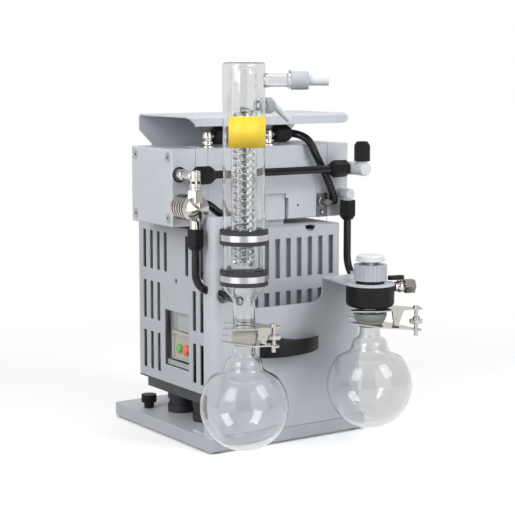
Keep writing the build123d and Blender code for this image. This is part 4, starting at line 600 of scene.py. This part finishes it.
def wall_box(builder, y0, y1, z0, z1, x0, x1):
    """A box behind the left wall; depths run inwards from the wall's outside, in millimetres."""
    strip(
        builder,
        (house_low.x + x0 * MM, PLATE_LOW.y + y0 * MM, z0 * MM),
        (house_low.x + x1 * MM, PLATE_LOW.y + y1 * MM, z1 * MM),
    )


# Near and far edge on the base plate, then lower and upper edge over the floor
SWITCH_EDGES = (82.9, 128.5, 95.5, 132.5)
FRAME_BARS = (
    (84.5, 123.5, 97.5, 99.5), (84.5, 123.5, 126.5, 128.5), (121.5, 123.5, 97.5, 128.5),
    (84.5, 86, 97.5, 128.5),
)
BLANK_PLATES = ((82.9, 116, 134, 158), (82.9, 141, 86.3, 93.0))
block = bmesh.new()
wall_box(block, *SWITCH_EDGES, 3.0, 9.0)
switch_box = add_piece(
    "switch_box", to_mesh("switch_box", block), "beige_plastic", stands_for=("switch_block",)
)
edge = switch_box.modifiers.new("edge", "BEVEL")
edge.width = 0.8 * MM
edge.segments = 2
frame_bars = bmesh.new()
for edges in FRAME_BARS:
    wall_box(frame_bars, *edges, 1.8, 3.4)
add_piece("switch_frame", to_mesh("switch_frame", frame_bars), PLATE, slot="beige_plastic")
blank = bmesh.new()
for edges in BLANK_PLATES:
    wall_box(blank, *edges, 4.0, 5.0)
add_piece("blank_plates", to_mesh("blank_plates", blank), PLATE, slot="beige_plastic")
for node, look, slot, body, radius in (
    ("on_button", GREEN, "green_button", "on_switch", 5.4),
    ("off_button", ORANGE, "red_button", "off_switch", 6.4),
):
    spot = middle(node)
    face = Vector((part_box(node)[0][0], spot.y, spot.z))
    lathe(node + "_disc", [(0, 0), (radius - 0.8, 0), (radius, 0.8), (radius, 4.4), (0, 4.4)], face, look,
          axis=(1, 0, 0), segments=48, body=body, stands_for=(node,), slot=slot)

# Knurled nuts of the clamps, each with a plain collar
KNURL_POINTS = 72
KNURL_DEPTH = 0.35
KNURL_HALF = 2.6
COLLAR_RADIUS = 4.4


def knurled_nut(side_name):
    """The knurled nut on one clamp's stud, in place of its CAD node."""
    nut_low, nut_high = (Vector(v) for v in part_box(side_name + "_clamp_nut"))
    centre_spot = (nut_low + nut_high) / 2
    span_z = (nut_high.z - nut_low.z) / MM
    radius = min(nut_high.x - nut_low.x, nut_high.y - nut_low.y) / 2 / MM
    half = min(KNURL_HALF, span_z / 2)
    builder = bmesh.new()
    rings = []
    for level, inset in ((-half, 0.7), (-half + 0.6, 0.0), (half - 0.6, 0.0), (half, 0.7)):
        ring = []
        for k in range(KNURL_POINTS):
            reach = radius - inset - (KNURL_DEPTH if k % 2 else 0.0)
            angle = 2 * pi * k / KNURL_POINTS
            offset = Vector((reach * cos(angle), reach * sin(angle), level))
            ring.append(builder.verts.new(centre_spot + offset * MM))
        rings.append(ring)
    for low, high in zip(rings, rings[1:]):
        for k in range(KNURL_POINTS):
            j = (k + 1) % KNURL_POINTS
            builder.faces.new([low[k], low[j], high[j], high[k]])
    close_ends(builder, rings)
    collar = [(COLLAR_RADIUS, -span_z / 2), (COLLAR_RADIUS, span_z / 2)]
    close_ends(builder, turned(builder, collar, centre_spot, segments=32))
    add_piece(side_name + "_knurled_nut", to_mesh(side_name + "_knurled_nut", builder), SHINE,
              body=side_name + "_nut", stands_for=(side_name + "_clamp_nut",), slot="nickel", sharp=25)


knurled_nut("left")
knurled_nut("right")

# Inlet: a polished body with a gunmetal hexagon round its bore
NOZZLE_HEADING = -17.0
NOZZLE_Z = 198.0
LEVER_REACH = 37.6
nozzle_axis = heading(NOZZLE_HEADING)
separator_spot = middle("right_flask")  # the separator stands over the right flask
nozzle_start = Vector((separator_spot.x, separator_spot.y, NOZZLE_Z * MM))
nozzle = bmesh.new()
body_rings = turned(nozzle, [
    (3.2, 28.9), (3.2, 31), (5.6, 31.2), (6.2, 31.8), (6.2, 34.6), (6.9, 35.4), (7.6, 37), (7.9, 39),
    (7.6, 41), (6.9, 42.6), (6.2, 43.4), (6.2, 44),
], nozzle_start, nozzle_axis, 48)
close_ends(nozzle, body_rings)
stem = turned(nozzle, [(2.5, 4), (2.5, 13)], nozzle_start + nozzle_axis * LEVER_REACH * MM, UP, 24)
close_ends(nozzle, stem)
add_piece("inlet_body", to_mesh("inlet_body", nozzle), "nickel", stands_for=("inlet_nozzle",), slot="nickel")
hexagon = bmesh.new()
outer_hex = turned(hexagon, [(8.6, 44), (9.3, 44.8), (9.3, 56.6), (8.6, 57.4)], nozzle_start, nozzle_axis, 6)
bore = turned(hexagon, [(4.0, 57.4), (4.0, 46)], nozzle_start, nozzle_axis, 6)
for k in range(6):
    j = (k + 1) % 6
    hexagon.faces.new([outer_hex[-1][k], outer_hex[-1][j], bore[0][j], bore[0][k]])
hexagon.faces.new(outer_hex[0])
hexagon.faces.new(bore[-1])
add_piece("inlet_hexagon", to_mesh("inlet_hexagon", hexagon), GUNMETAL_AND_SHADE, slot="dark_steel", sharp=25)

# Turning cap of the vent valve, with its ring grooves, and its drilled holes as discs of painted shade
VENTS = 6
VENT_START = -20
VENT_LIFT = 9.0
cap_low, cap_high = (Vector(v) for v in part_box("valve_cap"))
cap_foot = Vector(((cap_low.x + cap_high.x) / 2, (cap_low.y + cap_high.y) / 2, cap_low.z))
lathe("drilled_cap", [
    (4.3, 0), (6.8, 0), (6.8, 2.2), (6.2, 2.6), (6.2, 3.4), (6.8, 3.8), (6.8, 14.4), (6.1, 14.8), (6.1, 15.6),
    (6.8, 16), (6.8, 22), (6.0, 22.9), (4.6, 22.9), (4.2, 21.4), (0, 21.4), (0, 17.4), (4.3, 17.4),
], cap_foot, SHINE, segments=48, closed=True, body="vent_cap", stands_for=("valve_cap",), slot="nickel",
      sharp=25)
# Painted shade: a near-black disc in each drilled hole
cap_hole_shade = bmesh.new()
for vent in range(VENTS):
    way = heading(360 / VENTS * vent + VENT_START)
    drill = turned(cap_hole_shade, [(1.9, 6.3), (1.9, 6.88)], cap_foot + UP * VENT_LIFT * MM, way, 20)
    close_ends(cap_hole_shade, drill)
add_piece("cap_hole_shade", to_mesh("cap_hole_shade", cap_hole_shade), SHADE, body="vent_cap", slot="black_rubber")

# Turned fittings: two on the crankcase's top, the left port's, and the one on the dark plate
TOP_LINE_RISE = 14.5
TOP_PROFILE = [
    (0, 0), (8.5, 0), (8.5, 2), (6.4, 2.6), (5.4, 3.4), (5.4, 5), (7.4, 5.6), (7.4, 7.4), (5.4, 8.2),
    (6.1, 10.5), (6.5, 14.5), (6.1, 18.5), (4.6, 20.8), (2.5, 21.5), (0, 21.5),
]
TOP_LINE_DEPTH = 72
PORT_LINE_DEPTH = 33.5
PLATE_LINE_DEPTH = 51.5
NECK = 5.4
TO_RIGHT = (1, 0, 0)
fittings = bmesh.new()


def neck(builder, at, radius, start, end):
    """A plain stub to the right, where the hose goes on."""
    close_ends(builder, turned(builder, [(radius, start), (radius, end)], at, TO_RIGHT, 32))


for along, neck_start in ((PLATE_LOW.x + 42.5 * MM, 0), (case_high.x - 84 * MM, -10)):
    foot = Vector((along, PLATE_LOW.y + TOP_LINE_DEPTH * MM, case_high.z))
    turned(fittings, TOP_PROFILE, foot, segments=48)
    neck(fittings, foot + UP * TOP_LINE_RISE * MM, NECK, neck_start, 8)
port_foot = Vector((case_low.x - 23 * MM, case_low.y, UPPER_PORT_Z * MM))
line_depth = (case_low.y - PLATE_LOW.y) / MM - PORT_LINE_DEPTH
port_length = line_depth + 5.3
turned(fittings, [
    (0, 0), (6, 0), (6, 4), (7.1, 4.4), (7.1, 12), (6.6, 12.6), (5.8, 13.2), (5.8, port_length - 1.6),
    (4.6, port_length), (0, port_length),
], port_foot, TO_FRONT, 48)
neck(fittings, port_foot - Vector((0, line_depth * MM, 0)), NECK, 0, 7.5)
add_piece("turned_fittings", to_mesh("turned_fittings", fittings), SHINE, stands_for=("nickel_elbows",),
          slot="nickel", sharp=25)

PLATE_PROFILE = [(0, 0), (7, 0), (7, 2), (5, 2.6), (5, 11), (4, 12), (0, 12)]
SCREW_PROFILE = [(0, 0), (3.2, 0), (3.2, 1.2), (2.6, 1.9), (1.5, 2.1), (1.3, 1.2), (0, 1.2)]
SCREW_DROP = 13.5
plate_fitting = bmesh.new()
plate_foot = Vector((case_high.x - 9 * MM, case_low.y - 1.5 * MM, 292.5 * MM))
turned(plate_fitting, PLATE_PROFILE, plate_foot, TO_FRONT, 40)
neck(plate_fitting, Vector((plate_foot.x, PLATE_LOW.y + PLATE_LINE_DEPTH * MM, plate_foot.z)), 4, 0, 9)
add_piece("plate_fitting", to_mesh("plate_fitting", plate_fitting), GUNMETAL_AND_SHADE, slot="dark_steel", sharp=25)
lathe("plate_screw", SCREW_PROFILE, plate_foot - UP * SCREW_DROP * MM, SHINE, axis=TO_FRONT, segments=32,
      slot="nickel", sharp=25)

# Painted shade: dark gunmetal rings on the floors of the vent valve's grooves
GROOVES = 5
VALVE_X = -7
VALVE_Z = 298
FIRST_GROOVE = 50
GROOVE_PITCH = 5.5
grooves = bmesh.new()
for groove in range(GROOVES):
    spot = on_plate(VALVE_X, FIRST_GROOVE - GROOVE_PITCH * groove, VALVE_Z)
    close_ends(grooves, turned(grooves, [(14.45, 0.1), (14.45, 2.4)], spot, TO_FRONT, 56))
add_piece("valve_groove_shade", to_mesh("valve_groove_shade", grooves), GUNMETAL_AND_SHADE, slot="dark_steel")

# Moulded grip: a bowed bar with an upturned front rim, in plate coordinates
GRIP_LEFT = 72.0
GRIP_WIDTH = 86.0
GRIP_BACK = 0.5
GRIP_STEPS = 60
GRIP_CORNER = 4.0
GRIP_UNDER = 111.8
UNDER_RISE = 3.2
END_BOW = 5
BOW = 17
# Share of the grip's width, and the height over the floor there
RIM_LEVELS = ((0, 127.5), (0.18, 129.2), (0.43, 132.4), (0.63, 133.2), (0.81, 132.8), (1, 132.0))
BACK_LEVELS = ((0, 132), (0.37, 133), (0.5, 131.2), (0.62, 129.4), (1, 128.8))


def level_at(levels, share):
    """Height between the two nearest given levels, eased."""
    for (start, low), (end, high) in zip(levels, levels[1:]):
        if share <= end:
            t = (share - start) / (end - start)
            return low + (high - low) * t * t * (3 - 2 * t)
    return levels[-1][1]


grip = bmesh.new()
sections = []
for i in range(GRIP_STEPS + 1):
    share = (1 - cos(pi * i / GRIP_STEPS)) / 2
    along = share * GRIP_WIDTH
    corner = GRIP_CORNER - min(GRIP_CORNER, along, GRIP_WIDTH - along)
    rounding = GRIP_CORNER - sqrt(GRIP_CORNER**2 - corner**2)
    front = GRIP_BACK - (END_BOW + BOW * (1 - abs(2 * share - 1) ** 2.6) - rounding)
    under = GRIP_UNDER + UNDER_RISE * share
    rim = level_at(RIM_LEVELS, share) - rounding
    outline = [
        (GRIP_BACK, under), (front + 2, under), (front + 0.6, under + 0.6), (front, under + 2),
        (front, rim - 1), (front + 0.4, rim - 0.2), (front + 1.2, rim),
        (min(front + 3, GRIP_BACK - 0.1), rim - 0.6),
        (GRIP_BACK, level_at(BACK_LEVELS, share) - corner / 2),
    ]
    sections.append([grip.verts.new(on_plate(GRIP_LEFT + along, y, z)) for y, z in outline])
for left, right in zip(sections, sections[1:]):
    for k in range(len(left)):
        j = (k + 1) % len(left)
        grip.faces.new([left[k], left[j], right[j], right[k]])
close_ends(grip, sections)
add_piece("formed_grip", to_mesh("formed_grip", grip), "black_plastic", stands_for=("panel_grip",), sharp=50)

# Painted shade line in the crease under the front panel, and the screw in the housing's left wall in a ring
# of painted shade
panel_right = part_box("front_panel")[1][0]
plate_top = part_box("base_plate")[1][2]
# Painted shade: a near-black strip where the panel's foot meets the base plate
foot_shade_line = bmesh.new()
strip(
    foot_shade_line,
    (PLATE_LOW.x + 20 * MM, PLATE_LOW.y + 0.44 * MM, plate_top),
    (panel_right - 1 * MM, PLATE_LOW.y + 0.5 * MM, plate_top + 0.5 * MM),
)
add_piece("foot_shade_line", to_mesh("foot_shade_line", foot_shade_line), SHADE, slot="black_rubber")
TO_LEFT = (-1, 0, 0)
screw_spot = Vector((house_low.x, PLATE_LOW.y + 112 * MM, 197.5 * MM))
# Painted shade: a near-black ring round the screw for the shade in its recess
lathe("wall_screw_shade_ring", [(2.2, 0.05), (3.0, 0.05), (3.0, -0.3), (2.2, -0.3)], screw_spot, SHADE,
      axis=TO_LEFT, segments=40, closed=True, slot="black_rubber")
lathe("wall_screw", [(0, -0.3), (2.2, -0.3), (2.2, 0.1), (1.8, 0.25), (0, 0.3)], screw_spot, GUNMETAL_AND_SHADE,
      axis=TO_LEFT, segments=40, slot="steel")

# Folded front lip of the carry plate, with its sloped left end and rounded right end
LIP_FRONT = 40.8
LIP_BACK = 43.1
LIP_OUTLINE = (
    (-3.5, 404.2), (-1.2, 402.2), (9.5, 394.2), (228.5, 394.2), (232.6, 395.2), (235.2, 398), (235.8, 401),
    (235, 404.2),
)
lip = bmesh.new()
front_ring, back_ring = (
    [lip.verts.new(on_plate(x, depth, z)) for x, z in LIP_OUTLINE] for depth in (LIP_FRONT, LIP_BACK)
)
lip.faces.new(front_ring)
lip.faces.new(back_ring)
for k in range(len(LIP_OUTLINE)):
    j = (k + 1) % len(LIP_OUTLINE)
    lip.faces.new([front_ring[k], front_ring[j], back_ring[j], back_ring[k]])
add_piece("carry_lip", to_mesh("carry_lip", lip), LOOKS["blue_grey"], slot="blue_grey")

# Sheets inside the right and the front wall, seen grey through the front slots
liner = bmesh.new()
strip(
    liner,
    (house_high.x - 3.6 * MM, house_low.y + 8 * MM, house_low.z + 3 * MM),
    (house_high.x - 3.0 * MM, house_high.y - 8 * MM, house_high.z - 4 * MM),
)
strip(
    liner,
    (house_low.x + 60 * MM, house_low.y + 7 * MM, house_low.z + 90 * MM),
    (house_high.x - 4 * MM, house_low.y + 7.6 * MM, house_high.z - 6 * MM),
)
add_piece("inner_sheet", to_mesh("inner_sheet", liner), LOOKS["grey_sheet"], slot="grey_sheet")

# Camera
AIM_YAW = 34.01
AIM_PITCH = 7.57
camera_data = bpy.data.cameras.new("camera")
camera_data.lens = 102.4
camera_data.sensor_width = 36.0
camera = bpy.data.objects.new("camera", camera_data)
camera.location = on_plate(-916.3, -1458.9, 470.0)
camera.rotation_euler = (radians(90 - AIM_PITCH), 0, radians(-AIM_YAW))
bpy.context.scene.collection.objects.link(camera)
bpy.context.scene.camera = camera
camera_data.clip_end = 100.0

# Surroundings: white to the camera, plain light on the object, graded where metal and glass show them
world = bpy.data.worlds.new("studio")
bpy.context.scene.world = world
world.use_nodes = True
FACING_LIFT = 0.55
DARK_SIDE = 0.14
BRIGHT_SIDE = 0.95
tree = world.node_tree
tree.nodes.clear()
world_out = tree.nodes.new("ShaderNodeOutputWorld")
seen = tree.nodes.new("ShaderNodeBackground")
seen.inputs["Color"].default_value = (1, 1, 1, 1)
seen.inputs["Strength"].default_value = 1.0
lit = tree.nodes.new("ShaderNodeBackground")
lit.inputs["Color"].default_value = (0.97, 0.98, 1, 1)
lit.inputs["Strength"].default_value = 0.55
mirrored = tree.nodes.new("ShaderNodeBackground")
place = tree.nodes.new("ShaderNodeTexCoord")
across = node_of(tree, "ShaderNodeVectorMath", operation="DOT_PRODUCT")
across.inputs[1].default_value = (sin(radians(AIM_YAW)), cos(radians(AIM_YAW)), FACING_LIFT)
tree.links.new(place.outputs["Generated"], across.inputs[0])
fade = tree.nodes.new("ShaderNodeMapRange")
fade.inputs["From Min"].default_value = -0.25
fade.inputs["From Max"].default_value = 0.45
fade.inputs["To Min"].default_value = DARK_SIDE
fade.inputs["To Max"].default_value = BRIGHT_SIDE
tree.links.new(across.outputs["Value"], fade.inputs["Value"])
tree.links.new(fade.outputs["Result"], mirrored.inputs["Strength"])
path = tree.nodes.new("ShaderNodeLightPath")
gloss = node_of(tree, "ShaderNodeMath", operation="MAXIMUM")
tree.links.new(path.outputs["Is Glossy Ray"], gloss.inputs[0])
tree.links.new(path.outputs["Is Transmission Ray"], gloss.inputs[1])
first = tree.nodes.new("ShaderNodeMixShader")
tree.links.new(gloss.outputs["Value"], first.inputs["Fac"])
tree.links.new(lit.outputs["Background"], first.inputs[1])
tree.links.new(mirrored.outputs["Background"], first.inputs[2])
second = tree.nodes.new("ShaderNodeMixShader")
tree.links.new(path.outputs["Is Camera Ray"], second.inputs["Fac"])
tree.links.new(first.outputs["Shader"], second.inputs[1])
tree.links.new(seen.outputs["Background"], second.inputs[2])
tree.links.new(second.outputs["Shader"], world_out.inputs["Surface"])


# Lamps and reflection panes
LAMP_AIM = Vector((0, 0, 0.2))


def area_lamp(name, place, width, height, power):
    data = bpy.data.lights.new(name, "AREA")
    data.shape = "RECTANGLE"
    data.size = width
    data.size_y = height
    data.energy = power
    lamp = bpy.data.objects.new(name, data)
    lamp.location = place
    lamp.rotation_euler = (LAMP_AIM - Vector(place)).to_track_quat("-Z", "Y").to_euler()
    lamp.visible_glossy = False
    bpy.context.scene.collection.objects.link(lamp)


area_lamp("key_lamp", (-1.0, -0.3, 0.85), 0.5, 0.8, 8.0)
area_lamp("fill_lamp", (0.4, -0.9, 0.85), 0.5, 0.7, 7.2)
area_lamp("top_lamp", (0.2, 0.6, 2.4), 1.8, 1.8, 11)

PANE_REACH = 1.7
PANE_WIDTH = 1.3
PANE_TOP = 1.9


def pane(name, aside, glow):
    """An upright softbox that only reflections see, turned aside from the camera by an angle in degrees."""
    way = heading(-90 - AIM_YAW + aside)
    across = Vector((-way.y, way.x, 0)) * PANE_WIDTH / 2
    left, right = way * PANE_REACH - across, way * PANE_REACH + across
    corners = [left, right, right + UP * PANE_TOP, left + UP * PANE_TOP]
    mesh = bpy.data.meshes.new(name)
    mesh.from_pydata([tuple(corner) for corner in corners], [], [(0, 1, 2, 3)])
    board = bpy.data.objects.new(name, mesh)
    bpy.context.scene.collection.objects.link(board)
    look, tree, output = new_tree(name)
    light = tree.nodes.new("ShaderNodeEmission")
    light.inputs["Strength"].default_value = glow
    tree.links.new(light.outputs["Emission"], output.inputs["Surface"])
    mesh.materials.append(look)
    board.visible_camera = False
    board.visible_diffuse = False
    board.visible_shadow = False
    board.visible_transmission = False


pane("left_pane", -41, 3.0)
pane("right_pane", 38, 2.6)

# Floor: pale paper that keeps the object's shadow and fades to plain white away from it
FLOOR_SPAN = 20.0
FADE_NEAR = 0.45
FADE_FAR = 0.95
HIDDEN_TONE = 0.3
SEEN_TONE = 0.9
PAPER_GLOW = 0.16
GLASS_SHARE = 0.3
floor_mesh = bpy.data.meshes.new("floor")
floor_mesh.from_pydata(
    [(x * FLOOR_SPAN, y * FLOOR_SPAN, 0) for x, y in ((-1, -1), (1, -1), (1, 1), (-1, 1))], [], [(0, 1, 2, 3)]
)
floor = bpy.data.objects.new("floor", floor_mesh)
floor.location.z = -0.0002
bpy.context.scene.collection.objects.link(floor)
floor_look, floor_tree, floor_out = new_tree("white_floor")
ground = floor_tree.nodes.new("ShaderNodeTexCoord")
reach = node_of(floor_tree, "ShaderNodeVectorMath", operation="LENGTH")
floor_tree.links.new(ground.outputs["Object"], reach.inputs[0])
away = floor_tree.nodes.new("ShaderNodeMapRange")
away.interpolation_type = "SMOOTHSTEP"
away.inputs["From Min"].default_value = FADE_NEAR
away.inputs["From Max"].default_value = FADE_FAR
floor_tree.links.new(reach.outputs["Value"], away.inputs["Value"])
plain = floor_tree.nodes.new("ShaderNodeEmission")
plain.inputs["Strength"].default_value = 1.0
paper = floor_tree.nodes.new("ShaderNodeBsdfDiffuse")
glow = floor_tree.nodes.new("ShaderNodeEmission")
glow.inputs["Strength"].default_value = PAPER_GLOW
ray = floor_tree.nodes.new("ShaderNodeLightPath")
mirror_or_glass = node_of(floor_tree, "ShaderNodeMath", operation="MAXIMUM")
floor_tree.links.new(ray.outputs["Is Glossy Ray"], mirror_or_glass.inputs[0])
floor_tree.links.new(ray.outputs["Is Transmission Ray"], mirror_or_glass.inputs[1])
sees = node_of(floor_tree, "ShaderNodeMath", operation="MAXIMUM")
floor_tree.links.new(ray.outputs["Is Camera Ray"], sees.inputs[0])
floor_tree.links.new(mirror_or_glass.outputs["Value"], sees.inputs[1])
no_glow = floor_tree.nodes.new("ShaderNodeEmission")
no_glow.inputs["Strength"].default_value = 0.0
paper_tone = floor_tree.nodes.new("ShaderNodeMapRange")
paper_tone.inputs["To Min"].default_value = HIDDEN_TONE
paper_tone.inputs["To Max"].default_value = SEEN_TONE
floor_tree.links.new(sees.outputs["Value"], paper_tone.inputs["Value"])
floor_tree.links.new(paper_tone.outputs["Result"], paper.inputs["Color"])
choose = floor_tree.nodes.new("ShaderNodeMixShader")
floor_tree.links.new(sees.outputs["Value"], choose.inputs["Fac"])
floor_tree.links.new(no_glow.outputs["Emission"], choose.inputs[1])
floor_tree.links.new(glow.outputs["Emission"], choose.inputs[2])
total = floor_tree.nodes.new("ShaderNodeAddShader")
floor_tree.links.new(paper.outputs["BSDF"], total.inputs[0])
floor_tree.links.new(choose.outputs["Shader"], total.inputs[1])
fade_out = node_of(floor_tree, "ShaderNodeMath", operation="MULTIPLY")
floor_tree.links.new(away.outputs["Result"], fade_out.inputs[0])
floor_tree.links.new(sees.outputs["Value"], fade_out.inputs[1])
last = floor_tree.nodes.new("ShaderNodeMixShader")
floor_tree.links.new(fade_out.outputs["Value"], last.inputs["Fac"])
floor_tree.links.new(total.outputs["Shader"], last.inputs[1])
floor_tree.links.new(plain.outputs["Emission"], last.inputs[2])
through_share = node_of(floor_tree, "ShaderNodeMath", operation="MULTIPLY")
through_share.inputs[1].default_value = GLASS_SHARE
floor_tree.links.new(ray.outputs["Is Transmission Ray"], through_share.inputs[0])
dimmed = floor_tree.nodes.new("ShaderNodeMixShader")
floor_tree.links.new(through_share.outputs["Value"], dimmed.inputs["Fac"])
floor_tree.links.new(last.outputs["Shader"], dimmed.inputs[1])
floor_tree.links.new(no_glow.outputs["Emission"], dimmed.inputs[2])
floor_tree.links.new(dimmed.outputs["Shader"], floor_out.inputs["Surface"])
floor_mesh.materials.append(floor_look)

bpy.context.scene.view_settings.view_transform = "Standard"
